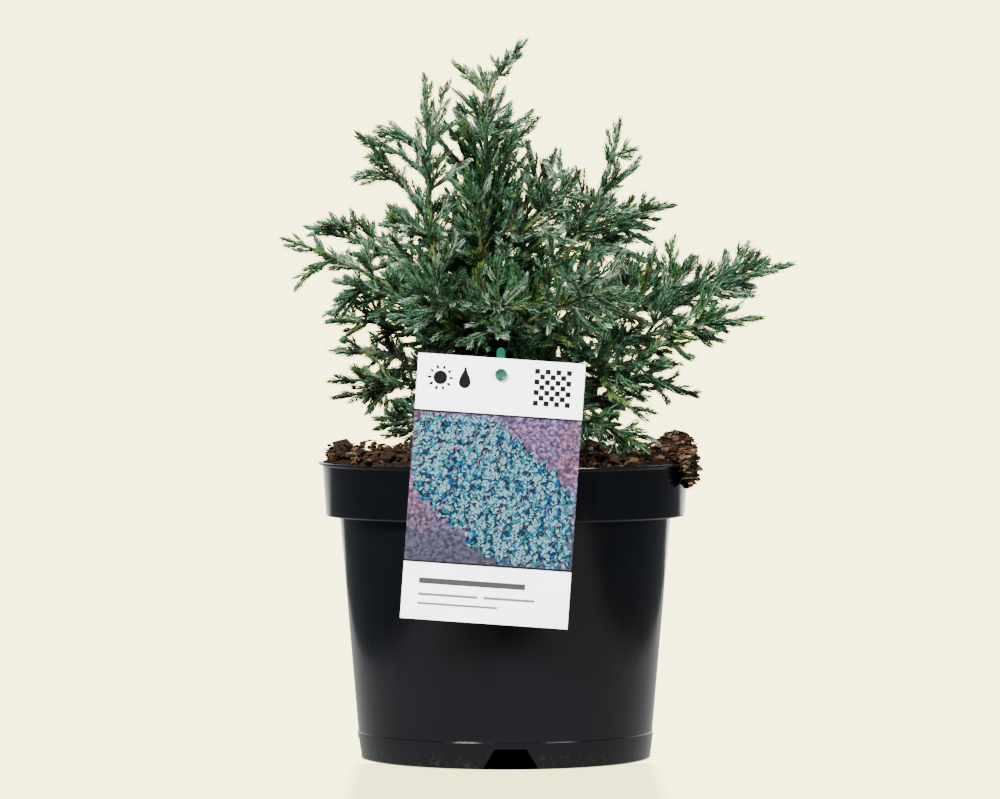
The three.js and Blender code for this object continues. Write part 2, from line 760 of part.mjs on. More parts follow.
const leaderCurve = new THREE.CatmullRomCurve3(leader.path.map((point) => new THREE.Vector3(...point)));
const masses = [...boughs, { ...leader, curve: leaderCurve }];
for (const mass of masses) {
  mass.fromTrunk = mass.bare === 0 && mass.name !== leader.name;
  mass.start = mass.fromTrunk ? 0 : mass.bare + clearance / mass.curve.getLength();
  mass.chain = chainOf(mass.curve, 0.12, 1);
  mass.tipPoint = mass.curve.getPoint(1);
  mass.tipHeading = mass.curve.getTangent(1);
}
const limbs = [
  { chain: chainOf(trunkCurve), radius: 3.6 },
  { chain: [holePlace.clone().setY(-88), new THREE.Vector3(holePlace.x, -80, 140)], radius: 3.5 },
  ...boughs.filter((bough) => bough.bare > 0)
    .map((bough) => ({ chain: chainOf(bough.curve, 0, bough.bare - 0.03, 6), radius: 2 })),
];
masses.forEach((mass, index) => growMass(mass, index, masses, limbs));

export default part;
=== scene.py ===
from itertools import product

import bpy
import numpy as np
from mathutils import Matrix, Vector


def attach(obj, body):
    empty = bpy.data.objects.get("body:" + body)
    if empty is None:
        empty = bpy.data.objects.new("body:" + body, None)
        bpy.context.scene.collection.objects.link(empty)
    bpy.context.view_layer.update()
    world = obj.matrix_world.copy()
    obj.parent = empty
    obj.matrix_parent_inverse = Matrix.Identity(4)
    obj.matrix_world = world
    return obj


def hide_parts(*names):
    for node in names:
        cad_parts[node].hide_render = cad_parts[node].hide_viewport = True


# A young blue sawara cypress in its nursery pot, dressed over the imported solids.
# Sizes are in millimetres and angles in degrees; addMesh turns them into metres.
# +Z is up, and the front of the pot looks towards -Y.

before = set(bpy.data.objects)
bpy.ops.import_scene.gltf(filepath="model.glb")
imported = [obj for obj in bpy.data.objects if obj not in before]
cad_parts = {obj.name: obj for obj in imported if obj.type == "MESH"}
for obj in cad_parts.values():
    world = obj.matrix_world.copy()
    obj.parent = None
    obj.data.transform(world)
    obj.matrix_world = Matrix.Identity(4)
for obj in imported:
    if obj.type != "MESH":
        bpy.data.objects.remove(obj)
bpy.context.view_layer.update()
print("frame loaded:", len(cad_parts), "nodes")

upward = np.array([0.0, 0.0, 1.0])
studioBrightness = 4.0


# Numbers and vectors

def mix(a, b, share):
    return a + (b - a) * share


def chance(a, b=0, c=0):
    # A repeatable number from 0 to 1 for up to three keys: the fraction of a fast sine.
    wave = np.sin(a * 12.9898 + b * 78.233 + c * 37.719) * 43758.5453
    return wave - np.floor(wave)


def unit(vectors):
    return vectors / np.maximum(np.linalg.norm(vectors, axis=-1, keepdims=True), 1e-12)


def evenAngles(sides):
    return 2 * np.pi * np.arange(sides) / sides


def circle(sides):
    # The corners of a regular outline of radius 1, sides by 2.
    return np.stack([np.cos(evenAngles(sides)), np.sin(evenAngles(sides))], axis=-1)


def turnX(degrees):
    angle = np.radians(degrees)
    return np.array([[1, 0, 0], [0, np.cos(angle), -np.sin(angle)], [0, np.sin(angle), np.cos(angle)]])


def turnZ(degrees):
    angle = np.radians(degrees)
    return np.array([[np.cos(angle), -np.sin(angle), 0], [np.sin(angle), np.cos(angle), 0], [0, 0, 1]])


def lumpyNoise(points, size, seed=0):
    # Value noise from -1 to 1: a hashed number at each corner of a lattice, blended by a
    # smooth step along the three directions.
    scaled = points / size
    cell = np.floor(scaled)
    part = scaled - cell
    part = part * part * (3 - 2 * part)
    total = np.zeros(points.shape[:-1])
    for corner in product((0, 1), repeat=3):
        weight = np.prod(np.where(corner, part, 1 - part), axis=-1)
        x, y, z = np.moveaxis(cell + np.array(corner) + seed * 7.31, -1, 0)
        total += weight * chance(x, y, z)
    return 2 * total - 1


# Meshes

def addMesh(name, points, faceGroups, materials, dealt=None, smooth=True, sharp=None):
    # faceGroups holds one array of faces for each number of corners. dealt gives each face
    # the number of its material, and sharp is the angle past which an edge stays hard.
    mesh = bpy.data.meshes.new(name)
    faceGroups = [np.asarray(group) for group in faceGroups if len(group)]
    sides = np.concatenate([np.full(len(group), group.shape[1]) for group in faceGroups])
    corners = np.concatenate([group.ravel() for group in faceGroups])
    mesh.vertices.add(len(points))
    mesh.vertices.foreach_set("co", (np.asarray(points) * 0.001).astype(np.float32).ravel())
    mesh.loops.add(len(corners))
    mesh.loops.foreach_set("vertex_index", corners.astype(np.int32))
    mesh.polygons.add(len(sides))
    mesh.polygons.foreach_set("loop_start", (np.cumsum(sides) - sides).astype(np.int32))
    mesh.polygons.foreach_set("use_smooth", np.full(len(sides), smooth))
    if dealt is not None:
        mesh.polygons.foreach_set("material_index", np.asarray(dealt, np.int32))
    mesh.update(calc_edges=True)
    mesh.validate()
    if sharp:
        mesh.set_sharp_from_angle(angle=np.radians(sharp))
    for material in materials:
        mesh.materials.append(material)
    piece = bpy.data.objects.new(name, mesh)
    bpy.context.scene.collection.objects.link(piece)
    return piece


def keep(piece, slotName, *replaced):
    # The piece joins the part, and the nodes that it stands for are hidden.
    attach(piece, "root")
    if replaced:
        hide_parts(*replaced)
    return piece


def gridFaces(rows, columns):
    # Quads between rows of points, each row closed on itself, anticlockwise from outside.
    row, column = np.meshgrid(np.arange(rows - 1), np.arange(columns), indexing="ij")
    after = (column + 1) % columns
    faces = [row * columns + column, row * columns + after,
             (row + 1) * columns + after, (row + 1) * columns + column]
    return np.stack(faces, axis=-1).reshape(-1, 4)


def turned(profile, segments):
    # A profile of radius and height carried round the vertical axis. Its first and last
    # points lie on the axis and become poles.
    profile = np.asarray(profile, float)
    x, y = circle(segments).T
    radius, height = profile[1:-1, :1], profile[1:-1, 1:]
    points = np.stack([radius * x, radius * y, height + 0 * x], axis=-1).reshape(-1, 3)
    poles = [[0, 0, profile[0][1]], [0, 0, profile[-1][1]]]
    here = np.arange(segments)
    after = np.roll(here, -1)
    last = len(points) - segments
    foot, top = np.full(segments, len(points)), np.full(segments, len(points) + 1)
    caps = [np.stack([foot, after, here], axis=-1), np.stack([top, last + here, last + after], axis=-1)]
    return np.concatenate([points, poles]), [gridFaces(len(radius), segments), np.concatenate(caps)]


def rounded(outline, steps=6):
    # An outline of radius, height and round, where each inner corner becomes an arc of
    # that radius, tangent to both of its sides.
    points = [np.array(outline[0][:2], float)]
    for before, corner, after in zip(outline[:-2], outline[1:-1], outline[2:]):
        place = np.array(corner[:2], float)
        back, ahead = unit(np.array(before[:2]) - place), unit(np.array(after[:2]) - place)
        if not corner[2]:
            points.append(place)
            continue
        half = np.arccos(np.clip(back @ ahead, -1, 1)) / 2
        centre = place + unit(back + ahead) * corner[2] / np.sin(half)
        reach = corner[2] / np.tan(half)
        start, end = place + back * reach - centre, place + ahead * reach - centre
        for share in np.linspace(0, 1, steps):
            points.append(centre + unit(mix(start, end, share)) * corner[2])
    return np.array(points + [np.array(outline[-1][:2], float)])


def prisms(outlines, low, high):
    # Slabs over flat outlines, N by corners by 2 and anticlockwise, between two heights.
    count, sides = outlines.shape[:2]
    flat = lambda height: np.concatenate([outlines, np.full((count, sides, 1), float(height))], axis=-1)
    points = np.concatenate([flat(low), flat(high)], axis=1).reshape(-1, 3)
    start = 2 * sides * np.arange(count)[:, None]
    here = start + np.arange(sides)
    after = start + np.roll(np.arange(sides), -1)
    walls = np.stack([here, after, after + sides, here + sides], axis=-1).reshape(-1, 4)
    return points, [walls, here[:, ::-1], here + sides]


def tubes(centres, radii, sides):
    # Closed tubes, all with the same number of rings: each ring lies square to the line of
    # centres, T by rings by 3. radii is T by rings, or T by rings by sides.
    count, rings = centres.shape[:2]
    along = unit(np.gradient(centres, axis=1))
    steady = np.eye(3)[np.argmin(np.abs(along.mean(axis=1)), axis=-1)][:, None]
    across = unit(np.cross(along, steady))
    over = np.cross(along, across)
    turns = circle(sides)[..., None]
    ring = across[:, :, None] * turns[:, 0] + over[:, :, None] * turns[:, 1]
    radii = radii[..., None] if radii.ndim == 2 else radii
    points = centres[:, :, None] + ring * radii[..., None]
    start = rings * sides * np.arange(count)[:, None]
    walls = (start[..., None] + gridFaces(rings, sides)).reshape(-1, 4)
    ends = start + np.arange(sides)
    return points.reshape(-1, 3), [walls, ends[:, ::-1], ends + (rings - 1) * sides]


def joined(parts):
    # Several sets of points and faces as one.
    points, groups, start = [], {}, 0
    for some, faceGroups in parts:
        points.append(some)
        for group in faceGroups:
            groups.setdefault(group.shape[1], []).append(group + start)
        start += len(some)
    return np.concatenate(points), [np.concatenate(group) for group in groups.values()]


# Materials

def colour(red, green, blue):
    # The base colour that shows as this screen colour, 0 to 255, where the lamps reach it:
    # the linear colour over the brightness of the studio.
    screen = np.array([red, green, blue]) / 255
    linear = np.where(screen <= 0.04045, screen / 12.92, ((screen + 0.055) / 1.055) ** 2.4)
    return (*(linear / studioBrightness), 1.0)


def newMaterial(name, base, roughness, **sockets):
    material = bpy.data.materials.new(name)
    material.use_nodes = True
    shader = material.node_tree.nodes["Principled BSDF"]
    shader.inputs["Base Color"].default_value = base
    shader.inputs["Roughness"].default_value = roughness
    for socket, value in sockets.items():
        shader.inputs[socket.replace("_", " ")].default_value = value
    return material, material.node_tree, shader


def addNode(tree, kind, **sockets):
    # A node whose named sockets take a number, or a link from another node.
    node = tree.nodes.new("ShaderNode" + kind)
    for socket, value in sockets.items():
        target = node.inputs[socket.replace("_", " ")]
        if isinstance(value, bpy.types.NodeSocket):
            tree.links.new(value, target)
        else:
            target.default_value = value
    return node


def place(tree, scale=(1, 1, 1), turn=(0, 0, 0)):
    # Object coordinates, stretched and turned.
    source = addNode(tree, "TexCoord").outputs["Object"]
    return addNode(tree, "Mapping", Scale=scale, Rotation=np.radians(turn), Vector=source).outputs["Vector"]


def coordinate(tree, vector, letter):
    return addNode(tree, "SeparateXYZ", Vector=vector).outputs[letter]


def lengthOf(tree, vector):
    node = tree.nodes.new("ShaderNodeVectorMath")
    node.operation = "LENGTH"
    tree.links.new(vector, node.inputs[0])
    return node.outputs["Value"]


def noise(tree, vector, size, detail=3, roughness=0.55):
    # Cloud noise whose blobs are about size millimetres wide.
    node = addNode(tree, "TexNoise", Scale=1000 / size, Detail=detail, Roughness=roughness, Vector=vector)
    return node.outputs["Fac"]


def stops(places, *screens):
    # The stops of a ramp, from places and screen colours.
    return [(at, colour(*screen)) for at, screen in zip(places, screens)]


def ramp(tree, factor, marks):
    # Colours or greys at places from 0 to 1.
    node = tree.nodes.new("ShaderNodeValToRGB")
    node.color_ramp.elements.remove(node.color_ramp.elements[0])
    node.color_ramp.elements[0].position, node.color_ramp.elements[0].color = marks[0]
    for at, value in marks[1:]:
        node.color_ramp.elements.new(at).color = value
    tree.links.new(factor, node.inputs["Fac"])
    return node.outputs["Color"]


def spread(tree, value, start, end, low=0, high=1):
    # low where the value is start, high where it is end, and level outside the two.
    node = addNode(tree, "MapRange", From_Min=start, From_Max=end, To_Min=low, To_Max=high, Value=value)
    return node.outputs["Result"]


def between(tree, factor, low, high):
    # A noise from 0 to 1 spread over two values.
    return spread(tree, factor, 0.3, 0.7, low, high)


def slope(tree, value, start, end):
    # 0 at start and 1 at end, in millimetres along a value in metres.
    return spread(tree, value, start * 0.001, end * 0.001)


def times(tree, values):
    product = values[0]
    for value in values[1:]:
        node = tree.nodes.new("ShaderNodeMath")
        node.operation = "MULTIPLY"
        tree.links.new(product, node.inputs[0])
        tree.links.new(value, node.inputs[1])
        product = node.outputs[0]
    return product


def blend(tree, factor, below, above):
    node = tree.nodes.new("ShaderNodeMix")
    node.data_type = "RGBA"
    for socket, value in (("Factor", factor), ("A", below), ("B", above)):
        target = next(s for s in node.inputs if s.name == socket and s.enabled)
        if isinstance(value, (tuple, float, int)):
            target.default_value = value
        else:
            tree.links.new(value, target)
    return next(s for s in node.outputs if s.enabled)


def bump(tree, shader, height, strength, depth):
    # depth is the height of the relief in millimetres.
    node = addNode(tree, "Bump", Strength=strength, Distance=depth * 0.001, Height=height)
    tree.links.new(node.outputs["Normal"], shader.inputs["Normal"])


def mottled(name, dark, light, roughness, grain, pits, relief, half=0.2, **sockets):
    # A finish that drifts between two colours over fine relief. grain and pits give their
    # noise's size, detail and roughness, relief gives the strength and depth of the bumps,
    # and half is half the width of the ramp between the colours.
    material, tree, shader = newMaterial(name, light, roughness, **sockets)
    vector = place(tree)
    shade = ramp(tree, noise(tree, vector, *grain), [(0.5 - half, dark), (0.5 + half, light)])
    tree.links.new(shade, shader.inputs["Base Color"])
    bump(tree, shader, noise(tree, vector, *pits), *relief)
    return material


grey = lambda value: (value, value, value, 1)


# Camera, floor and light

camera = {"x": -2.7, "distance": 2540, "height": 234.7, "lookDown": 1.2, "lens": 180}


def makeCamera():
    lens = bpy.data.cameras.new("camera")
    lens.lens = camera["lens"]
    lens.clip_start, lens.clip_end = 0.05, 40
    holder = bpy.data.objects.new("camera", lens)
    holder.location = np.array([camera["x"], -camera["distance"], camera["height"]]) * 0.001
    holder.rotation_euler = (np.radians(90 - camera["lookDown"]), 0, 0)
    bpy.context.scene.collection.objects.link(holder)
    bpy.context.scene.camera = holder


studio = {
    # Light of the backdrop and the table, which show the same cream.
    "cream": (6.2, 5.62, 2.7, 1),
    "tableRadius": 9000,
    "tableFaces": (-0.5, -0.02),
    "domeRadius": 8500,
    # A painted shadow under the pot: radii between which the table's light fades to none.
    "paintedShadow": (72, 75),
    # A painted reflection of the pot in the table, a darker strip of its light: half its width, where it
    # starts, its edge, between which places in front of the view it ends, and the share of light that it
    # leaves.
    "paintedReflection": {"halfWidth": 74, "start": -40, "edge": 4, "end": (-290, -215), "light": 0.6},
    "world": 0.16,
    "worldTint": (0.93, 1, 1.07, 1),
    # name, place, aimed at, width, height, watts, colour
    "lamps": [
        ("key", (-1100, -1700, 1500), (0, 0, 220), 700, 700, 330, (1.0, 0.99, 0.97)),
        ("fill", (1500, -1500, 1100), (0, 0, 220), 900, 900, 112, (0.96, 0.98, 1.0)),
        ("top", (100, 350, 1800), (0, 0, 200), 900, 900, 120, (1.0, 1.0, 0.98)),
    ],
    # Cards that only show as reflections: the bright wall behind the pot and the table.
    "wall": {
        "y": 1100, "halfWidth": 2000, "height": 1300, "glow": 2.4,
        "fade": (-1500, -150, 420, 1750),
    },
    "table": {"front": 330, "back": 1000, "left": 370, "right": 395, "height": -0.6, "glow": 0.7},
}


def glowing(name, tint):
    material = bpy.data.materials.new(name)
    material.use_nodes = True
    tree = material.node_tree
    tree.nodes.clear()
    glow = addNode(tree, "Emission", Color=tint)
    addNode(tree, "OutputMaterial", Surface=glow.outputs["Emission"])
    return material, tree, glow


def tableMaterial():
    # The table's own light: less in a painted reflection of the pot, and none in a painted shadow under the
    # pot.
    paintedReflection = studio["paintedReflection"]
    half, edge, start = paintedReflection["halfWidth"], paintedReflection["edge"], paintedReflection["start"]
    material, tree, glow = glowing("table", studio["cream"])
    vector = place(tree)
    x, y = coordinate(tree, vector, "X"), coordinate(tree, vector, "Y")
    # The strip of painted reflection in front of the pot.
    share = times(tree, [
        slope(tree, x, -half - edge, edge - half),
        slope(tree, x, half + edge, half - edge),
        slope(tree, y, start + edge, start),
        slope(tree, y, *paintedReflection["end"]),
    ])
    level = spread(tree, share, 0, 1, 1, paintedReflection["light"])
    # A painted shadow: the table gives no light under the pot.
    paintedShadow = slope(tree, lengthOf(tree, vector), *studio["paintedShadow"])
    tree.links.new(times(tree, [level, paintedShadow]), glow.inputs["Strength"])
    return material


def card(name, corners, glow, fade=None):
    # fade gives the places along X, in millimetres, between which the glow rises and falls.
    material, tree, shader = glowing(name, (glow, glow, glow, 1))
    if fade:
        x = coordinate(tree, place(tree), "X")
        sides = [slope(tree, x, *fade[:2]), slope(tree, x, *fade[:1:-1])]
        tree.links.new(times(tree, [*sides, *sides]), shader.inputs["Strength"])
    piece = addMesh(name, np.array(corners, float), [[[0, 1, 2, 3]]], [material], smooth=False)
    piece.visible_camera = piece.visible_shadow = piece.visible_diffuse = False
    return piece


def makeStudio():
    world = bpy.data.worlds.new("studio")
    bpy.context.scene.world = world
    world.use_nodes = True
    world.node_tree.nodes["Background"].inputs["Color"].default_value = studio["worldTint"]
    world.node_tree.nodes["Background"].inputs["Strength"].default_value = studio["world"]

    # The backdrop, a dome that only the camera sees, and the table.
    height = np.linspace(-1, 1, 33)
    profile = np.stack([np.sqrt(1 - height ** 2), height], axis=-1) * studio["domeRadius"]
    dome = addMesh("backdrop", *turned(profile, 64), [glowing("backdrop", studio["cream"])[0]])
    wide, (under, over) = studio["tableRadius"], studio["tableFaces"]
    disc = [[0, under], [wide, under], [wide, over], [0, over]]
    table = addMesh("table", *turned(disc, 96), [tableMaterial()], smooth=False)
    for piece in (dome, table):
        piece.visible_diffuse = piece.visible_glossy = piece.visible_shadow = False

    wall, flat = studio["wall"], studio["table"]
    width, back, top = wall["halfWidth"], wall["y"], wall["height"]
    corners = [[-width, back, 0], [width, back, 0], [width, back, top], [-width, back, top]]
    wallCard = card("wallCard", corners, wall["glow"], wall["fade"])
    left, right, front, back = -flat["left"], flat["right"], -flat["front"], flat["back"]
    flatCorners = ((left, front), (right, front), (right, back), (left, back))
    corners = [[x, y, flat["height"]] for x, y in flatCorners]
    tableCard = card("tableCard", corners, flat["glow"])

    for name, spot, target, width, height, watts, tint in studio["lamps"]:
        lamp = bpy.data.lights.new(name, "AREA")
        lamp.shape = "RECTANGLE"
        lamp.size, lamp.size_y = width * 0.001, height * 0.001
        lamp.energy = watts
        lamp.color = tint
        holder = bpy.data.objects.new(name, lamp)
        holder.location = np.array(spot) * 0.001
        aim = Vector(np.array(target, float) - np.array(spot, float))
        holder.rotation_euler = aim.to_track_quat("-Z", "Y").to_euler()
        bpy.context.scene.collection.objects.link(holder)


makeCamera()
makeStudio()
print("camera, floor and light made")


# The pot

pot = {
    "height": 150, "lipRadius": 95, "lipDepth": 1.9,
    "collarRadius": 92.8, "collarFootRadius": 91, "collarFoot": 122.6,
    "wallTopRadius": 84, "wallFootRadius": 73.7, "wallFoot": 1.6, "wall": 1.5,
    "bandHeight": 13.2, "bandDepth": 0.5,
    "padRadius": 34, "channel": 10.5, "floor": 1.6,
    "drains": 4, "drainTurn": 2, "notchWidth": 29, "notchTopWidth": 16, "notchBelow": 0.4, "holeRadius": 5,
    "seatRadius": 71.3, "segments": 240,
    # Radii between which the painted black shade inside the foot ends, and heights between which earth
    # sticks to the foot.
    "dark": (72.2, 73.2), "earthy": (11, 1),
}


def wallRadius(height):
    share = (height - pot["wallFoot"]) / (pot["collarFoot"] - pot["wallFoot"])
    return mix(pot["wallFootRadius"], pot["wallTopRadius"], share)


def potMaterial():
    material, tree, shader = newMaterial("blackPlastic", colour(16, 18, 21), 0.15, IOR=1.46)
    vector = place(tree)
    dust = ramp(tree, noise(tree, vector, 1.1, 2), [(0.0, grey(0)), (0.67, grey(0)), (0.73, grey(0.8))])
    patches = ramp(tree, noise(tree, vector, 26, 4), [(0.45, grey(0)), (0.62, grey(0.05))])
    body = ramp(tree, noise(tree, vector, 60, 3), stops((0.35, 0.65), (12, 15, 20), (17, 20, 26)))
    specks = blend(tree, patches, grey(0), dust)
    shade = blend(tree, specks, body, colour(122, 118, 112))
    low = slope(tree, coordinate(tree, vector, "Z"), *pot["earthy"])
    earth = ramp(tree, noise(tree, vector, 3.2, 4, 0.7), [(0.55, grey(0)), (0.66, grey(0.75))])
    smudge = blend(tree, low, grey(0), earth)
    shade = blend(tree, smudge, shade, colour(84, 64, 48))
    # Inside the foot, where no light comes, a painted shade: the colour is black and the sheen is taken off.
    outside = slope(tree, lengthOf(tree, place(tree, (1, 1, 0))), *pot["dark"])
    shade = blend(tree, outside, grey(0.0005), shade)
    tree.links.new(shade, shader.inputs["Base Color"])
    tree.links.new(blend(tree, outside, grey(0), grey(0.4)), shader.inputs["Specular IOR Level"])
    rubbed = noise(tree, place(tree, (1, 1, 0.2)), 9, 5, 0.6)
    tree.links.new(between(tree, rubbed, 0.09, 0.17), shader.inputs["Roughness"])
    ripple = noise(tree, place(tree, (1, 1, 0.35)), 5, 4, 0.6)
    bump(tree, shader, ripple, 0.12, 0.04)
    return material


def makePot():
    floorTop = pot["channel"] + pot["floor"]
    collarIn = pot["collarFoot"] + pot["wall"]
    band = pot["bandHeight"]
    outline = [
        (0, 0, 0),
        (pot["padRadius"], 0, 0.6),
        (pot["padRadius"] + 3, pot["channel"], 0.8),
        (wallRadius(pot["channel"]) - pot["wall"], pot["channel"], 0.8),
        (pot["seatRadius"], 0, 0.25),
        (wallRadius(0) + pot["bandDepth"], 0, 1.4),
        (wallRadius(band) + pot["bandDepth"], band, 0.2),
        (wallRadius(band + 0.35), band + 0.35, 0.1),
        (pot["wallTopRadius"], pot["collarFoot"], 0.5),
        (pot["collarFootRadius"], pot["collarFoot"], 1.1),
        (pot["collarRadius"], pot["height"] - pot["lipDepth"], 0.7),
        (pot["lipRadius"], pot["height"] - pot["lipDepth"] + 0.7, 0.45),
        (pot["lipRadius"], pot["height"], 0.7),
        (pot["collarRadius"] - pot["wall"], pot["height"], 0.5),
        (pot["collarFootRadius"] - pot["wall"], collarIn, 1),
        (pot["wallTopRadius"] - pot["wall"], collarIn, 1),
        (wallRadius(floorTop) - pot["wall"], floorTop, 1),
        (pot["padRadius"] + 2, floorTop, 1),
        (pot["padRadius"] - 1, pot["floor"], 0.8),
        (0, pot["floor"], 0),
    ]
    material = potMaterial()
    piece = addMesh("potShell", *turned(rounded(outline), pot["segments"]), [material])

    # Four notches in the foot and four holes in the channel's roof, cut out of the lathe.
    foot, top = pot["notchWidth"] / 2, pot["notchTopWidth"] / 2
    high = pot["channel"] - pot["notchBelow"]
    trapezium = np.array([[[-foot, -1], [foot, -1], [top, high], [-top, high]]])
    notch, notchFaces = prisms(trapezium, pot["wallFootRadius"] - 12, pot["wallFootRadius"] + 12)
    notch = notch[:, [0, 2, 1]] * [1, -1, 1]
    hole, holeFaces = prisms(pot["holeRadius"] * circle(24)[None], pot["channel"] - 5, pot["channel"] + 5)
    hole[:, 1] -= (pot["padRadius"] + pot["wallFootRadius"]) / 2
    parts = []
    for number in range(pot["drains"]):
        spin = turnZ(pot["drainTurn"] + 360 * number / pot["drains"]).T
        parts += [(notch @ spin, notchFaces), (hole @ spin, holeFaces)]
    cutter = addMesh("potCutter", *joined(parts), [material], smooth=False)
    cut = piece.modifiers.new("notches", "BOOLEAN")
    cut.object, cut.operation, cut.solver = cutter, "DIFFERENCE", "EXACT"
    finished = bpy.data.meshes.new_from_object(piece.evaluated_get(bpy.context.evaluated_depsgraph_get()))
    piece.modifiers.clear()
    piece.data = finished
    finished.set_sharp_from_angle(angle=np.radians(32))
    bpy.data.objects.remove(cutter)
    keep(piece, "pot", "pot")


makePot()
print("pot made")


# The soil

soil = {
    "edgeHeight": 150.6, "edgeRadius": 90.4, "crownHeight": 158, "trunkRadius": 9,
    "rings": 54, "segments": 200, "roughness": 1.7, "lumps": 13, "finer": ((0.6, 5.5), (0.35, 2.2)),
    "chips": 1900, "rimChips": 1000, "lumpChips": 620, "fines": 2600, "clods": 90,
    # The longest chip of each heap (loose, rim, fines, clods and lump), and how far chips
    # stand out of the soil.
    "longest": (9, 8, 3.4, 15, 7),
    "looseLift": (-0.3, 1.6), "finesLift": (-0.2, 0.9), "clodsLift": (0, 2.2), "rimLift": (1.5, 6.5),
    # Threads are long inside this radius, short at the rim, and hang from the lump.
    "threads": 420, "lumpThreads": 70, "longWithin": 80, "long": 11, "short": 5, "hanging": 6,
}
earth = {
    "darkest": colour(30, 20, 13), "peat": colour(60, 44, 32), "dark": colour(50, 34, 24),
    "brown": colour(92, 69, 51), "light": colour(156, 124, 92), "russet": colour(136, 86, 50),
    "deepRusset": colour(70, 44, 28), "dull": colour(62, 46, 35), "straw": colour(170, 134, 96),
    "pale": colour(234, 212, 180), "thread": colour(66, 47, 32), "lightThread": colour(140, 112, 82),
}
# Kinds of chip: two colours, and their share all over the soil and on the lump.
chips = {
    "chipsDark": ("dark", "dull", 0.35, 0.2), "chipsBrown": ("dark", "brown", 0.35, 0.32),
    "chipsLight": ("brown", "light", 0.17, 0.28), "chipsRusset": ("deepRusset", "russet", 0.1, 0.12),
    "chipsPale": ("straw", "pale", 0.03, 0.08),
}
# Large chips along the front of the rim: their kind, place and three sizes.
largeChips = [
    ("chipsDark", (-81, -26, 157), (14, 11, 12)), ("chipsDark", (-86, -10, 153), (10, 8, 8)),
    ("chipsBrown", (-76, -32, 155), (12, 9, 8)), ("chipsPale", (-77, -43, 154.5), (10, 2.6, 3)),
    ("chipsLight", (-68, -58, 151.8), (17, 5, 4)), ("chipsRusset", (-74, -50, 151.2), (8, 5, 4)),
    ("chipsPale", (-74, -52, 153), (9, 2, 2.4)), ("chipsDark", (-58, -62, 154), (9, 7, 7)),
    ("chipsDark", (-45, -70, 155), (10, 8, 8)), ("chipsBrown", (52, -68, 153), (10, 8, 6)),
    ("chipsLight", (63, -60, 152.5), (9, 4, 4)), ("chipsDark", (70, -48, 154), (11, 9, 8)),
]
lump = {
    "centre": (86.5, -9, 156), "size": (10, 17, 9.5),
    "sagCentre": (91.7, -28, 148), "sagSize": (5.5, 8, 10),
}
dice = np.random.default_rng(20)


def soilHeight(radius):
    share = np.minimum(radius / soil["edgeRadius"], 1)
    return mix(soil["crownHeight"], soil["edgeHeight"], share ** 2.2)


def soilRelief(points):
    flat = points * [1, 1, 0]
    bumps = lumpyNoise(flat, soil["lumps"], 1)
    for number, (share, size) in enumerate(soil["finer"]):
        bumps += share * lumpyNoise(flat, size, number + 2)
    return soil["roughness"] * bumps


def earthMaterial(name, dark, light, grain=1.6):
    return mottled(name, earth[dark], earth[light], 0.94, (grain, 4, 0.7), (grain * 0.6, 4, 0.7), (0.8, 0.35),
                   0.18, Specular_IOR_Level=0.08)


def tumbled(count, tilt):
    # Turning matrices: a turn by any angle about the vertical after a tilt up to a limit.
    turn, lean = dice.uniform(0, 2 * np.pi, count), np.radians(tilt) * dice.uniform(-1, 1, count)
    zero, one = np.zeros(count), np.ones(count)
    spin = [[np.cos(turn), -np.sin(turn), zero], [np.sin(turn), np.cos(turn), zero], [zero, zero, one]]
    tip = [[one, zero, zero], [zero, np.cos(lean), -np.sin(lean)], [zero, np.sin(lean), np.cos(lean)]]
    return np.moveaxis(np.array(spin), -1, 0) @ np.moveaxis(np.array(tip), -1, 0)


def crumbs(spots, sizes, tilt):
    # Jagged crumbs: the corners of an icosahedron pushed in and out, squeezed to three
    # sizes, tilted and set down at their spots.
    golden = (1 + 5 ** 0.5) / 2
    corners = unit(np.array([
        [-1, golden, 0], [1, golden, 0], [-1, -golden, 0], [1, -golden, 0],
        [0, -1, golden], [0, 1, golden], [0, -1, -golden], [0, 1, -golden],
        [golden, 0, -1], [golden, 0, 1], [-golden, 0, -1], [-golden, 0, 1],
    ]))
    facets = np.array([
        [0, 11, 5], [0, 5, 1], [0, 1, 7], [0, 7, 10], [0, 10, 11], [1, 5, 9], [5, 11, 4],
        [11, 10, 2], [10, 7, 6], [7, 1, 8], [3, 9, 4], [3, 4, 2], [3, 2, 6], [3, 6, 8],
        [3, 8, 9], [4, 9, 5], [2, 4, 11], [6, 2, 10], [8, 6, 7], [9, 8, 1],
    ])
    count = len(spots)
    shape = corners * dice.uniform(0.6, 1.3, (count, 12, 1)) * sizes[:, None] / 2
    points = shape @ np.swapaxes(tumbled(count, tilt), 1, 2) + spots[:, None]
    faces = facets + 12 * np.arange(count)[:, None, None]
    return points.reshape(-1, 3), [faces.reshape(-1, 3)]


def crumbSizes(count, longest):
    # Many small crumbs and few large ones: length, breadth and height.
    length = np.exp(dice.normal(np.log(longest * 0.42), 0.42, count)).clip(longest * 0.16, longest)
    breadth, height = dice.uniform(0.35, 0.75, count), dice.uniform(0.2, 0.5, count)
    return np.stack([length, length * breadth, length * height], axis=-1)


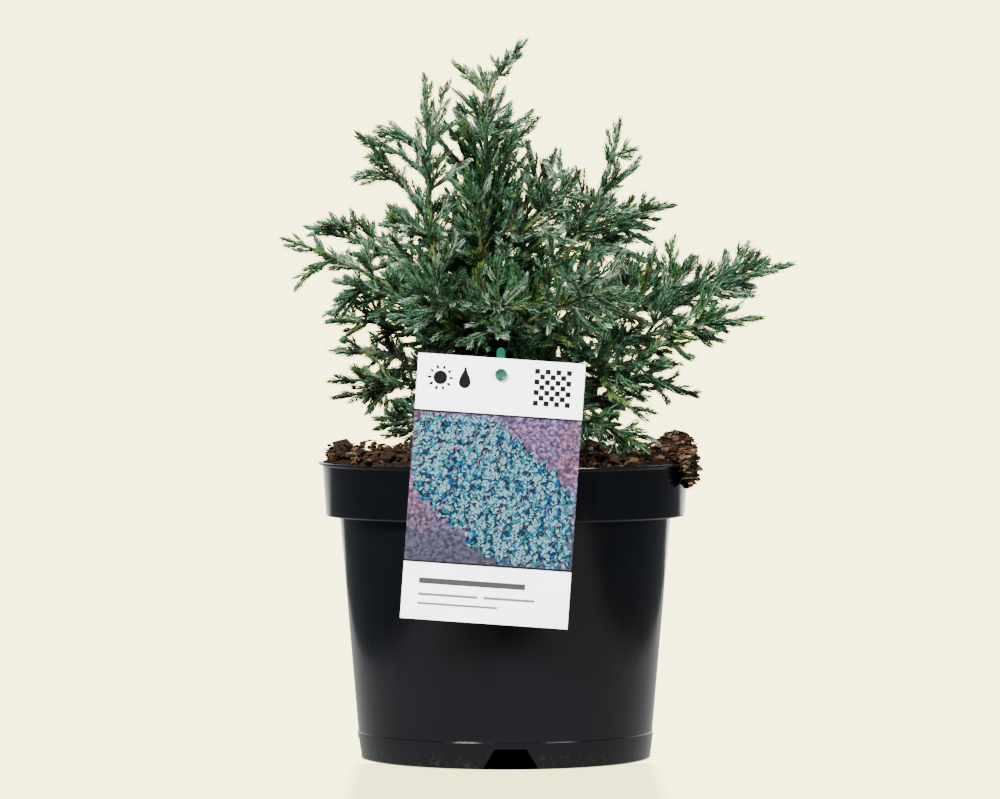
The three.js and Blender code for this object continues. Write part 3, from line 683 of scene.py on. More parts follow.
def threads(roots, reach, hang):
    # Thin curved threads: each a bend from its root through a raised middle to its tip.
    count = len(roots)
    turn, length = dice.uniform(0, 2 * np.pi, count), dice.uniform(0.35, 1, count) * reach
    level = np.stack([np.cos(turn), np.sin(turn), np.zeros(count)], axis=-1) * length[:, None]
    side = np.stack([-level[:, 1], level[:, 0], level[:, 2]], axis=-1)
    bend = level * 0.5 + side * dice.uniform(-0.35, 0.35, (count, 1))
    bend += upward * dice.uniform(0, 0.35, (count, 1)) * length[:, None]
    tip = level + upward * (dice.uniform(-0.1, 0.35, (count, 1)) - hang) * length[:, None]
    share = np.linspace(0, 1, 6)[:, None]
    centres = roots[:, None] + 2 * share * (1 - share) * bend[:, None] + share ** 2 * tip[:, None]
    radii = dice.uniform(0.18, 0.42, (count, 1)) * mix(1, 0.5, share.T)
    return tubes(centres, radii, 3)


def makeGround():
    # The body of the soil, turned inside the pot, with relief on top, and the lump.
    inner, gap = pot["wall"] + 0.3, 0.3
    floor, floorTop = pot["floor"] + gap, pot["channel"] + pot["floor"] + gap
    step = pot["collarFoot"] + pot["wall"] + 2
    lower = [
        (0, floor), (pot["padRadius"] - 1.3, floor),
        (pot["padRadius"] + 1.7, floorTop), (wallRadius(floorTop) - inner, floorTop),
        (pot["wallTopRadius"] - inner, step), (pot["collarFootRadius"] - inner, step),
        (soil["edgeRadius"], soil["edgeHeight"] - 1.4),
    ]
    radii = np.linspace(soil["edgeRadius"] - 1, 1.5, soil["rings"])
    upper = [(radius, soilHeight(radius)) for radius in radii]
    points, faces = turned([*lower, *upper, (0, soil["crownHeight"])], soil["segments"])
    top = np.zeros(len(points), bool)
    top[(len(lower) - 1) * soil["segments"]:-2] = True
    radius = np.hypot(*points[top, :2].T)
    rim = np.clip((soil["edgeRadius"] - radius) / 5, 0, 1)
    points[top, 2] += soilRelief(points[top]) * mix(0.4, 1, rim) * (radius > soil["trunkRadius"])

    # The lump on the rim: two balls, pushed in and out by noise.
    height = np.linspace(-1, 1, 26)
    ball, ballFaces = turned(np.stack([np.sqrt(1 - height ** 2), height], axis=-1), 44)
    heaps = []
    for centre, size in ((lump["centre"], lump["size"]), (lump["sagCentre"], lump["sagSize"])):
        rough = 1 + 0.16 * lumpyNoise(ball, 0.55, 5) + 0.1 * lumpyNoise(ball, 0.25, 6)
        heaps.append((ball * rough[:, None] * size * 0.93 + centre, ballFaces))
    ground = earthMaterial("peat", "darkest", "peat", 2.2)
    keep(addMesh("soilBody", *joined([(points, faces), *heaps]), [ground]), "soil", "soil")


def scattered(count, least, most):
    # Spots on the soil between two radii, even over its area.
    radius = np.sqrt(dice.uniform(least ** 2, most ** 2, count))
    turn = dice.uniform(0, 2 * np.pi, count)
    spots = np.stack([radius * np.cos(turn), radius * np.sin(turn), soilHeight(radius)], axis=-1)
    return spots + upward * soilRelief(spots)[:, None]


def makeSoil():
    makeGround()
    edge = soil["edgeRadius"]

    # Bark chips and crumbs on top: loose all over, piled at the rim and round the lump.
    loose = scattered(soil["chips"], 8, edge - 1)
    loose[:, 2] += dice.uniform(*soil["looseLift"], len(loose))
    rim = scattered(soil["rimChips"], 74, edge + 0.5)
    swell = np.clip(lumpyNoise(rim * [1, 1, 0], 22, 9) + 0.35, 0, 1)
    rim[:, 2] += dice.uniform(0, 1, len(rim)) ** 1.6 * (soil["rimLift"][0] + soil["rimLift"][1] * swell)
    heading = unit(dice.normal(size=(soil["lumpChips"], 3)))
    onSag = (np.arange(len(heading)) % 3 == 0)[:, None]
    onTop = heading * lump["size"] + lump["centre"]
    onLump = np.where(onSag, heading * lump["sagSize"] + lump["sagCentre"], onTop)
    wallSide = (np.hypot(*onLump[:, :2].T) < pot["lipRadius"] + 1) & (onLump[:, 2] < pot["height"] + 0.6)
    onLump = onLump[~wallSide]
    fines = scattered(soil["fines"], 40, edge + 0.7)
    fines[:, 2] += dice.uniform(*soil["finesLift"], len(fines))
    clods = scattered(soil["clods"], 30, edge - 5)
    clods[:, 2] += dice.uniform(*soil["clodsLift"], len(clods))
    heaps = [loose, rim, fines, clods, onLump]
    spots = np.concatenate(heaps)
    sizes = np.concatenate([crumbSizes(len(heap), most) for heap, most in zip(heaps, soil["longest"])])
    _, _, shares, lumpShares = zip(*chips.values())
    dealt = dice.choice(len(chips), len(spots), p=shares)
    # Clods are of the first three kinds, most of them dark or brown.
    dealt[-len(onLump) - len(clods):-len(onLump)] //= 2
    dealt[-len(onLump):] = dice.choice(len(chips), len(onLump), p=lumpShares)
    for number, (name, (deep, pale, *_)) in enumerate(chips.items()):
        chosen = dealt == number
        large = [(spot, size) for kind, spot, size in largeChips if kind == name]
        parts = [crumbs(spots[chosen], sizes[chosen], 60), crumbs(*np.moveaxis(np.array(large), 1, 0), 20)]
        keep(addMesh(name, *joined(parts), [earthMaterial(name, deep, pale)], smooth=False), "soil")

    # Roots and threads of peat, some of them hanging from the lump.
    roots = np.concatenate([loose[:soil["threads"] // 2], rim[:soil["threads"] // 2]])
    hanging = onLump[onLump[:, 0] > lump["centre"][0]][:soil["lumpThreads"]]
    reach = np.where(np.hypot(*roots[:, :2].T) < soil["longWithin"], soil["long"], soil["short"])
    lines = joined([threads(roots, reach, 0), threads(hanging, soil["hanging"], 0.5)])
    keep(addMesh("soilThreads", *lines, [earthMaterial("threads", "thread", "lightThread", 3)]), "soil")


makeSoil()
print("soil made")


# The label and its peg

label = {
    "width": 82, "height": 130, "thickness": 0.5, "hole": (-2.2, 195.6), "holeBelowTop": 8,
    "tilt": -4, "lean": 3, "offLip": 0.4, "header": 27.5, "picture": 74.5, "print": 0.06,
    # The lines over and under the picture, and the heights between which it turns dusky.
    "line": 0.8, "dusk": (134, 112),
    # Plain rules where lines of words would be: left, right, bottom and top from the hole.
    "rules": [(-33, 19, -104.4, -101.6)],
    "thinRules": [(-33, -4, -110.2, -109), (-1, 24, -110.2, -109), (-33, 6, -114.6, -113.6)],
}
heath = {
    "places": (0.4, 0.47, 0.54, 0.62),
    "violet": [(46, 36, 66), (96, 74, 126), (138, 110, 166), (198, 172, 212)],
    "rose": [(58, 34, 58), (118, 72, 110), (160, 108, 144), (212, 174, 196)],
}
sprig = {
    # Rows of sprigs, every second one set off by half a step, from the picture's lower left.
    "rows": 17, "columns": 19, "left": -41, "foot": 0.5, "step": 4.6, "rowStep": 4.3,
    # The leaning band that they keep to: its slope, its middle and half its width.
    "slope": 0.8, "middle": 34, "half": 32,
    "lean": 72, "leanMore": 26, "length": 6, "pairs": 11, "open": (66, 22), "leaf": (2.7, 1.7),
    "slender": 0.36, "shade": (8.6, 6),
    # Kinds of leaf: their colour and their share.
    "tints": {
        "sprigDeep": ((12, 54, 78), 0.24), "sprigBlue": ((14, 104, 172), 0.18),
        "sprigTurquoise": ((64, 158, 176), 0.3), "sprigPale": ((176, 220, 228), 0.28),
    },
}
signs = {
    "corners": 20, "sun": (-29.5, -3.4), "sunRadius": 3.4, "rays": 10, "rayFrom": 4.1, "ray": (2.6, 1.5),
    # The drop: a disc drawn out above one height and narrowed above another.
    "drop": (-17.5, -5), "dropRadius": 2.9, "drawnFrom": 1.5, "drawn": 3.4, "narrowFrom": 2.5, "narrow": 0.55,
    "chequer": (16.5, -14), "squares": 7, "square": 2.5, "squareStep": 2.6,
}
peg = {
    "width": 4.3, "thickness": 2.6, "point": 8, "foot": 92, "above": 13, "lean": 9, "offLabel": 2.4,
    "edge": 0.45, "pinRadius": 1.7, "pinDepth": 3.2, "headRadius": 2.95, "headDepth": 1.5,
    # The gap between card and head, and the dish in the head.
    "gap": 0.3, "dish": 0.5,
}
leanBack = (label["hole"][1] - pot["height"]) * np.tan(np.radians(label["lean"]))
holeSpot = np.array([label["hole"][0], -pot["lipRadius"] - label["offLip"] + leanBack, label["hole"][1]])
labelTurn = turnX(90 - label["lean"]) @ turnZ(label["tilt"])


def onLabel(points):
    # From the label's own plane, x to the right and y up from its hole, to the frame.
    return points @ labelTurn.T + holeSpot


def printed(name, outlines, material, level=1):
    # Flat shapes printed on the label's face, as slabs a few hundredths thick.
    low = label["thickness"] + 0.005 + label["print"] * (level - 1)
    parts = [prisms(np.asarray(group, float), low, low + label["print"]) for group in outlines]
    points, faces = joined(parts)
    return keep(addMesh(name, onLabel(points), faces, [material], smooth=False), "label")


def inkMaterial(name, base):
    material, tree, shader = newMaterial(name, base, 0.38, Specular_IOR_Level=0.15)
    bump(tree, shader, noise(tree, place(tree), 0.5, 2), 0.15, 0.02)
    return material


def box(left, right, bottom, top):
    return [[left, bottom], [right, bottom], [right, top], [left, top]]


def leaves(roots, headings, lengths, widths):
    # Pointed leaves in the plane: four corners, widest at two fifths of the length.
    shape = np.array([[0, 0], [0.4, -0.5], [1, 0], [0.4, 0.5]])
    along = np.stack([np.cos(headings), np.sin(headings)], axis=-1)
    across = np.stack([-along[:, 1], along[:, 0]], axis=-1)
    return (roots[:, None] + shape[:, :1] * (along * lengths[:, None])[:, None]
            + shape[:, 1:] * (across * widths[:, None])[:, None])


def makeCard():
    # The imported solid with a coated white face.
    dull, white = (0.88, 0.9, 0.91, 1), (0.95, 0.97, 0.98, 1)
    material = mottled("card", dull, white, 0.36, (14, 3), (0.6, 3), (0.12, 0.03))
    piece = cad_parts["label"]
    piece.data.materials.clear()
    piece.data.materials.append(material)


def heathMaterial():
    # Mauve heath, mottled, darker in patches and at its foot.
    material, tree, shader = newMaterial("heath", colour(140, 96, 140), 0.36)
    vector = place(tree, turn=(0, label["tilt"], 0))
    fine = noise(tree, vector, 1.7, 3, 0.7)
    violet, rose = (ramp(tree, fine, stops(heath["places"], *heath[key])) for key in ("violet", "rose"))
    dusk = ramp(tree, fine, stops((0.4, 0.6), (30, 30, 44), (98, 98, 126)))
    broad = ramp(tree, noise(tree, vector, 30, 3, 0.5), [(0.44, grey(0)), (0.56, grey(1))])
    patches = ramp(tree, noise(tree, vector, 22, 2, 0.5), [(0.56, grey(0)), (0.64, grey(0.6))])
    shade = blend(tree, patches, blend(tree, broad, violet, rose), dusk)
    shade = blend(tree, slope(tree, coordinate(tree, vector, "Z"), *label["dusk"]), shade, dusk)
    tree.links.new(shade, shader.inputs["Base Color"])
    return material


def makeSprigs(half, low, high):
    # The picture's motif: sprigs of turquoise leaves in leaning rows, inside half the width
    # and two heights.
    ownDice = np.random.default_rng(7)
    along = np.linspace(0, 1, sprig["pairs"])
    roots, headings, lengths, shades = [], [], [], []
    for row, column in product(range(sprig["rows"]), range(sprig["columns"])):
        x = sprig["left"] + sprig["step"] * (column + row % 2 / 2)
        y = sprig["foot"] + sprig["rowStep"] * row
        if abs(x * sprig["slope"] + y - sprig["middle"]) > sprig["half"]:
            continue
        lean = np.radians(sprig["lean"] + sprig["leanMore"] * (ownDice.random() - 0.5) * 2)
        start, stem = np.array([x, y + low]), np.array([np.cos(lean), np.sin(lean)])
        shades.append([*(start - stem), lean, *sprig["shade"]])
        for hand in (-1, 1):
            roots.append(start + stem * sprig["length"] * along[:, None])
            opened = np.radians(mix(*sprig["open"], along))
            headings.append(lean + hand * opened + ownDice.normal(0, 0.14, len(along)))
            lengths.append(mix(*sprig["leaf"], along) * ownDice.uniform(0.8, 1.25, len(along)))
    roots, headings, lengths = map(np.concatenate, (roots, headings, lengths))
    shapes = leaves(roots, headings, lengths, lengths * sprig["slender"])
    shades = np.array(shades)
    shadow = leaves(shades[:, :2], *shades[:, 2:].T)

    def inside(group):
        x, y = group[..., 0], group[..., 1]
        return ((np.abs(x) < half) & (y > low + label["line"]) & (y < high - label["line"])).all(axis=1)

    printed("sprigShade", [shadow[inside(shadow)]], inkMaterial("sprigShadeInk", colour(10, 38, 54)), 1.5)
    tints = sprig["tints"]
    dealt = ownDice.choice(len(tints), len(shapes), p=[share for _, share in tints.values()])
    for number, (name, (tint, _)) in enumerate(tints.items()):
        chosen = shapes[inside(shapes) & (dealt == number)]
        printed(name, [chosen], inkMaterial(name + "Ink", colour(*tint)), 2 + 0.4 * number)


def makeSigns():
    # The header: a sun and a drop at the left, and a small chequer at the right.
    disc, rays = circle(signs["corners"]), signs["rays"]
    sun = disc * signs["sunRadius"] + signs["sun"]
    rayRoots = circle(rays) * signs["rayFrom"] + signs["sun"]
    sunRays = leaves(rayRoots, evenAngles(rays), *np.tile(signs["ray"], (rays, 1)).T)
    drop = disc * signs["dropRadius"]
    drop[:, 1] += np.maximum(drop[:, 1] - signs["drawnFrom"], 0) * signs["drawn"]
    drop[drop[:, 1] > signs["narrowFrom"], 0] *= signs["narrow"]
    spots = np.array([spot for spot in product(range(signs["squares"]), repeat=2) if sum(spot) % 2 == 0])
    squares = (spots * signs["squareStep"])[:, None] + box(0, signs["square"], 0, signs["square"])
    groups = [[sun], sunRays, [drop + signs["drop"]], squares + signs["chequer"]]
    printed("labelSigns", groups, inkMaterial("blackInk", colour(20, 16, 20)))


def makeLabel():
    half, line = label["width"] / 2, label["line"]
    high = label["holeBelowTop"] - label["header"]
    low = high - label["picture"]
    makeCard()
    printed("labelGround", [[box(-half, half, low, high)]], heathMaterial())
    lines = [box(0.1 - half, half - 0.1, high - line, high), box(0.1 - half, half - 0.1, low, low + line)]
    printed("labelLines", [lines], inkMaterial("darkInk", colour(36, 32, 40)), 4)
    makeSprigs(half - 0.4, low, high)
    makeSigns()
    for name, rules, ink, shade in (("labelRules", "rules", "greyInk", colour(98, 98, 106)),
                                    ("labelThinRules", "thinRules", "paleInk", colour(168, 168, 176))):
        printed(name, [[box(*rule) for rule in label[rules]]], inkMaterial(ink, shade))


def makePeg():
    dark, light = colour(14, 112, 86), colour(24, 136, 106)
    material = mottled("greenPlastic", dark, light, 0.34, (4, 3), (1.2, 3), (0.2, 0.04))
    # The flat stake: a pointed foot and a round top, with softened edges.
    half = peg["width"] / 2
    length = label["hole"][1] - peg["foot"]
    roundFrom = peg["above"] - half
    arc = np.linspace(0, np.pi, 15)
    outline = [[0, -length], [half, peg["point"] - length]]
    outline += [[half * np.cos(a), roundFrom + half * np.sin(a)] for a in arc]
    outline += [[-half, peg["point"] - length]]
    edge = peg["edge"]
    inset = np.array(outline) * [1 - edge / half, 1 - edge / length]
    rings = [(inset, -peg["thickness"]), (outline, -peg["thickness"] + edge), (outline, -edge), (inset, 0)]
    sides = len(outline)
    points = np.concatenate([np.column_stack([ring, np.full(sides, depth)]) for ring, depth in rings])
    stakeFaces = [gridFaces(4, sides), np.arange(sides)[None, ::-1], np.arange(sides)[None] + 3 * sides]
    stake = points @ turnX(90 + peg["lean"]).T + holeSpot + [0, peg["offLabel"], 0]
    # The button: a disc with a raised rim and a shallow dish, and its pin through the hole.
    radius, pin, foot = peg["headRadius"], peg["pinRadius"], -peg["pinDepth"]
    back = label["thickness"] + peg["gap"]
    front = back + peg["headDepth"]
    dish = front - peg["dish"]
    profile = rounded([(0, foot, 0), (pin, foot, 0.2), (pin, back, 0.1),
                       (radius, back, 0.3), (radius, front, 0.45), (radius * 0.72, front, 0.25),
                       (radius * 0.62, dish, 0.2), (0, dish, 0)], 5)
    button, buttonFaces = turned(profile, 40)
    button = button @ turnX(90 - label["lean"]).T + holeSpot
    parts = joined([(stake, stakeFaces), (button, buttonFaces)])
    keep(addMesh("pegAndButton", *parts, [material], sharp=40), "label_peg", "label_peg")


makeLabel()
makePeg()
print("label and peg made")


# The trunk and the boughs

trunk = {
    "path": [[0, 0, 150], [-1.5, 0, 178], [-5.5, 1, 215], [-9.3, 1.5, 262], [-9.8, 0, 306]],
    "foot": 158.3, "sunk": 2.5, "footRadius": 5.6, "tipRadius": 1.1, "flare": 3.2, "flareHeight": 7,
    "buttresses": 4, "buttressDepth": 0.35, "rings": 190, "sides": 30, "relief": 0.3,
    # Heights between which the old bark turns into green wood.
    "greening": (195, 240),
}
boughFields = ("name", "leaves", "azimuth", "reach", "tip", "rise", "end", "bare", "spread")
boughs = [dict(zip(boughFields, row)) for row in [
    ("right_long", 196, -4, 144.5, 250, 26, 14, 0.22, 40),
    ("right_shelf", 184, -17, 133, 223, 30, 6, 0.23, 36),
    ("right_shoulder", 236, 9, 86, 280, 40, 10, 0.22, 33),
    ("right_spire", 216, -24, 63, 322, 40, 80, 0.26, 27),
    ("right_skirt", 173, 7, 106, 189, 24, -6, 0.26, 30),
    ("left_long", 206, 183, 112, 263, 30, 18, 0.27, 28),
    ("left_droop", 198, 193, 111, 239, 34, -14, 0.26, 27),
    ("left_shoulder", 226, 166, 103, 269, 34, 12, 0.24, 31),
    ("left_high", 238, 188, 79, 294, 34, 34, 0.24, 27),
    ("left_crest", 214, 204, 80, 315, 50, 38, 0.28, 27),
    ("left_spire", 182, 212, 48, 344, 34, 84, 0.32, 26),
    ("left_shelf", 190, 176, 90, 221, 30, -8, 0.27, 30),
    ("left_lower", 181, 158, 95, 206, 26, -2, 0.27, 28),
    ("left_skirt", 173, 187, 88, 191, 24, -4, 0.28, 26),
    ("front_left", 205, 238, 88, 240, 34, 12, 0.23, 35),
    ("front_middle", 200, 266, 83, 231, 36, 8, 0.23, 34),
    ("front_right", 206, 304, 97, 238, 32, 8, 0.23, 37),
    ("front_right_low", 180, 324, 100, 199, 24, -6, 0.26, 31),
    ("back_left", 210, 131, 97, 246, 32, 12, 0.23, 37),
    ("back_middle", 203, 94, 99, 238, 32, 8, 0.23, 37),
    ("back_right", 208, 52, 108, 243, 32, 10, 0.23, 37),
    ("back_left_skirt", 179, 124, 89, 197, 24, -4, 0.26, 31),
    ("back_right_skirt", 177, 68, 91, 194, 24, -4, 0.26, 31),
    ("right_crest", 244, 56, 46, 308, 54, 66, 0, 25),
    ("front_left_crest", 236, 246, 46, 296, 50, 52, 0, 27),
    ("front_right_crest", 246, 311, 55, 295, 46, 46, 0, 28),
    ("back_crest", 248, 118, 46, 302, 48, 56, 0, 26),
    ("right_foot", 167, 33, 91, 174, 26, -12, 0, 26),
    ("front_right_foot", 167, 318, 93, 158, 34, -24, 0, 24),
    ("left_foot", 166, 214, 77, 168, 28, -10, 0, 23),
]]
leader = {
    "name": "leader", "azimuth": 0, "bare": 0, "spread": 27,
    "path": [[-9.8, 0, 306], [-9.6, 0, 322], [-6, 0, 342], [10, -1, 363]],
}
limb = {
    "rootRadius": 1.5, "perReach": 0.006, "tipRadius": 1.05, "sides": 14, "rings": 40,
    # Where a bough's bark starts and how far it passes the bare part, the swelling at its
    # root and how fast that fades, and the length and depth of its relief.
    "from": 0.01, "past": 0.02, "collar": 0.9, "collarFade": 9, "length": 34, "relief": 0.11,
}


def smoothPath(corners, perSpan=60):
    # A smooth line through the corners: Hermite arcs, with slopes from spans that are
    # weighed by the square root of their length.
    corners = np.array(corners, float)
    corners = np.concatenate([[2 * corners[0] - corners[1]], corners, [2 * corners[-1] - corners[-2]]])
    spans = np.sqrt(np.linalg.norm(np.diff(corners, axis=0), axis=1))
    share = np.linspace(0, 1, perSpan, endpoint=False)[:, None]
    line = []
    for n in range(1, len(corners) - 2):
        a, b, c, d = corners[n - 1:n + 3]
        before, here, after = spans[n - 1:n + 2]
        leave = ((b - a) / before - (c - a) / (before + here) + (c - b) / here) * here
        arrive = ((c - b) / here - (d - b) / (here + after) + (d - c) / after) * here
        square, cube = share ** 2, share ** 3
        line.append(b * (2 * cube - 3 * square + 1) + leave * (cube - 2 * square + share)
                    + c * (3 * square - 2 * cube) + arrive * (cube - square))
    return np.concatenate([*line, corners[-2:-1]])


def alongPath(path, shares):
    # Points and directions at shares of the length of a line of points.
    reached = np.concatenate([[0], np.cumsum(np.linalg.norm(np.diff(path, axis=0), axis=1))])
    reached /= reached[-1]
    slopes = unit(np.gradient(path, axis=0))
    at = lambda values: np.stack([np.interp(shares, reached, values[:, axis]) for axis in range(3)], axis=-1)
    return at(path), unit(at(slopes))


def pathLength(path):
    return np.linalg.norm(np.diff(path, axis=0), axis=1).sum()


trunkPath = smoothPath(trunk["path"])


def trunkCentre(height):
    foot, tip = trunk["path"][0][2], trunk["path"][-1][2]
    return alongPath(trunkPath, np.array([(height - foot) / (tip - foot)]))[0][0]


def boughPath(bough):
    # A cubic arc from inside the trunk to the tip, with a slope given at either end.
    azimuth = np.radians(bough["azimuth"])
    root = trunkCentre(bough["leaves"])
    tip = np.array([np.cos(azimuth) * bough["reach"], np.sin(azimuth) * bough["reach"], bough["tip"]])
    across = unit((tip - root) * [1, 1, 0])
    pull = np.linalg.norm(tip - root) * 0.38
    slope = lambda degrees: across * np.cos(np.radians(degrees)) + upward * np.sin(np.radians(degrees))
    first, second = root + slope(bough["rise"]) * pull, tip - slope(bough["end"]) * pull
    share = np.linspace(0, 1, 201)[:, None]
    return (root * (1 - share) ** 3 + 3 * first * share * (1 - share) ** 2
            + 3 * second * share ** 2 * (1 - share) + tip * share ** 3)


def barkMaterial():
    # Orange-brown, fibrous bark below, passing to the yellow-green of this year's wood.
    material, tree, shader = newMaterial("bark", colour(110, 78, 52), 0.85)
    vector = place(tree, (1, 1, 0.22))
    grain = noise(tree, vector, 1.5, 5, 0.7)
    old = ramp(tree, grain, stops((0.3, 0.5, 0.7), (50, 34, 24), (102, 70, 46), (156, 114, 74)))
    young = ramp(tree, grain, stops((0.3, 0.7), (84, 124, 44), (142, 176, 84)))
    height = slope(tree, coordinate(tree, place(tree), "Z"), *trunk["greening"])
    tree.links.new(blend(tree, height, old, young), shader.inputs["Base Color"])
    bump(tree, shader, noise(tree, vector, 0.9, 4, 0.7), 0.7, 0.3)
    return material


def barkRelief(angle, length, seed):
    # Long ridges round the limb that wander as they climb, in millimetres.
    wander = 0.8 * np.sin(length / 11 + seed) + 0.5 * np.sin(length / 4.3 + 2 * seed)
    ridges = np.abs(np.sin(4.5 * angle + wander)) + 0.6 * np.abs(np.sin(7.5 * angle - 1.6 * wander + seed))
    return ridges - 0.8


def makeTrunk(material):
    foot = (trunk["foot"] - trunk["sunk"] - trunk["path"][0][2]) / pathLength(trunkPath)
    share = np.linspace(foot, 1, trunk["rings"])
    centres, _ = alongPath(trunkPath, share)
    angle = evenAngles(trunk["sides"])
    above = np.maximum(share * pathLength(trunkPath) + trunk["path"][0][2] - trunk["foot"], 0)[:, None]
    flare = trunk["flare"] * np.exp(-above / trunk["flareHeight"])
    lobes = 1 + trunk["buttressDepth"] * np.cos(trunk["buttresses"] * angle)
    radius = mix(trunk["footRadius"], trunk["tipRadius"], share ** 0.8)[:, None]
    relief = trunk["relief"] * (radius / trunk["footRadius"]) * barkRelief(angle, above, 1.0)
    points, faces = tubes(centres[None], (radius + flare * lobes + relief)[None], trunk["sides"])
    keep(addMesh("trunkBark", points, faces, [material]), "bark", "trunk")


def makeBoughs(material):
    # The bare part of each bough, with a collar where it leaves the trunk.
    bare = [bough for bough in boughs if bough["bare"] > 0]
    shares = [np.linspace(limb["from"], bough["bare"] + limb["past"], limb["rings"]) for bough in bare]
    centres = np.stack([alongPath(bough["line"], some)[0] for bough, some in zip(bare, shares)])
    share = np.linspace(0, 1, limb["rings"])
    roots = limb["rootRadius"] + limb["perReach"] * np.array([bough["reach"] for bough in bare])
    radius = mix(roots[:, None], limb["tipRadius"] * 1.1, share)
    collar = limb["collar"] * np.exp(-share * limb["collarFade"])
    angle, length = evenAngles(limb["sides"]), (share * limb["length"])[:, None]
    relief = np.stack([barkRelief(angle, length, seed * 1.7) for seed in range(len(bare))])
    radii = (radius + collar)[..., None] + limb["relief"] * relief
    points, faces = tubes(centres, radii, limb["sides"])
    names = ["bough_" + bough["name"] for bough in bare]
    keep(addMesh("boughBark", points, faces, [material]), "bark", *names)


for bough in boughs:
    bough["line"] = boughPath(bough)
bark = barkMaterial()
makeTrunk(bark)
makeBoughs(bark)
print("trunk and boughs made")


# The foliage: masses of twigs and shoots that grow by the same rule as the solids

# How far the needles reach past the tip of a twig.
needleReach = 3
growth = {
    "twigSpacing": 10.6, "turn": 137.5, "turnBetween": 120, "flatness": 0.7,
    "openAtBase": 56, "openAtTip": 30, "openVaries": 10, "lastTwig": 0.8, "twigTaper": 0.4,
    "shift": (0.35, 0.65), "twigVaries": (0.84, 1.16), "twigSizes": (1, 0.78, 0.58, 0.42),
    # The shares of a twig and of a spray at which their own space is tested.
    "twigTests": (0.42, 0.7, 1), "sprayTests": (0.4, 0.75, 1),
    # How much the outer half of a limb turns to its bearer's direction, and upwards.
    "twigBend": (0.35, 0.2), "sprayBend": (0.45, 0.12), "shootBend": (0.5, 0.15),
    # Side sprays of a twig: their places on it and their shares of sprayLength. They are no
    # longer than longestSpray times the twig.
    "sprayLength": 38, "sprayOpen": 46, "sprayVaries": 12, "longestSpray": 1.05,
    "sprayPlaces": (0.19, 0.34), "sprayShares": (0.7, 0.8), "spraySizes": (1, 0.8, 0.6, 0.42),
    # Short shoots along every twig and spray.
    "shootStep": 4.6, "shootLong": 11, "shootShort": 6, "shootOpen": 36, "shootOpenAtTip": 24,
    "shootFrom": 0.14, "shootOver": 0.78, "shootSway": 0.62, "shootTurn": 0.9, "shootVaries": (0.7, 1.25),
    # Shorter limbs than this bear shorter shoots, down to a least share.
    "fullLimb": 22, "leastShoot": 0.55,
    # The least by which other masses' stems are farther from a limb than its own.
    "ownMargin": -3.0,
    # The last stretch of each mass's own stem bears shoots like a twig.
    "endFrom": (0.55, 0.78),
    # The size of the sprays on single twigs, and the sizes to which sky cuts a limb back.
    "freeSpray": 0.5, "cutSizes": (1, 0.8, 0.65, 0.5, 0.35),
}
# Places where the photo shows sky beside the sprays and between them, as the camera sees
# them in the plane of the trunk: X, Z and radius. Limbs are cut back to leave them open.
skyPlaces = np.array([
    # round the leader
    (-6, 361, 8), (11, 346, 9), (9.5, 337, 7), (4, 331, 3), (-10, 352, 4), (-28, 343, 4),
    (-26.5, 334, 2.5), (-16, 339, 3), (-3, 334, 3),
    # left of the top
    (-48.5, 327, 8), (-66, 309, 4), (-53, 303, 6), (-70, 299, 3), (-62, 300, 2), (-60, 284, 6),
    (-51, 287, 5), (-46.5, 287, 2), (-15, 293, 3), (-9, 279, 3),
    # the left shoulder and the long bough under it
    (-76, 281, 6), (-65, 276, 6), (-97, 273, 5), (-98, 265, 4), (-94, 264, 5), (-86, 259, 5.5),
    (-102, 252, 4.5), (-94, 240, 8), (-84, 245, 4), (-78, 250, 3.5), (-75, 261, 3),
    # the left side down to the soil
    (-86, 217, 5.5), (-70, 215.5, 3.5), (-84, 201, 4), (-78, 200, 3), (-72, 188, 2.5), (-75, 175, 7),
    (-63, 166, 6),
    # right of the top
    (21, 304, 3), (35, 302, 4), (36, 291, 3), (43, 302, 5.5), (48, 308, 6), (49.5, 296, 3.5), (62, 314, 5),
    (57, 287, 3), (66, 290, 6.5), (75, 290, 7), (77, 265, 5), (48, 285, 2), (43, 285, 2),
    # above and below the long bough at the right
    (89, 259, 6), (90, 251, 3), (102, 259, 8), (112, 263, 7), (131, 260, 5), (133, 253, 3), (129, 232, 3),
    (109, 232, 2.5), (113.5, 216, 4.5), (97, 201, 4), (92, 195, 5),
    # the right side down to the soil
    (86, 178, 4), (78, 177, 3), (72, 179, 3), (66, 173, 5), (60, 177, 3), (72, 169, 5),
])
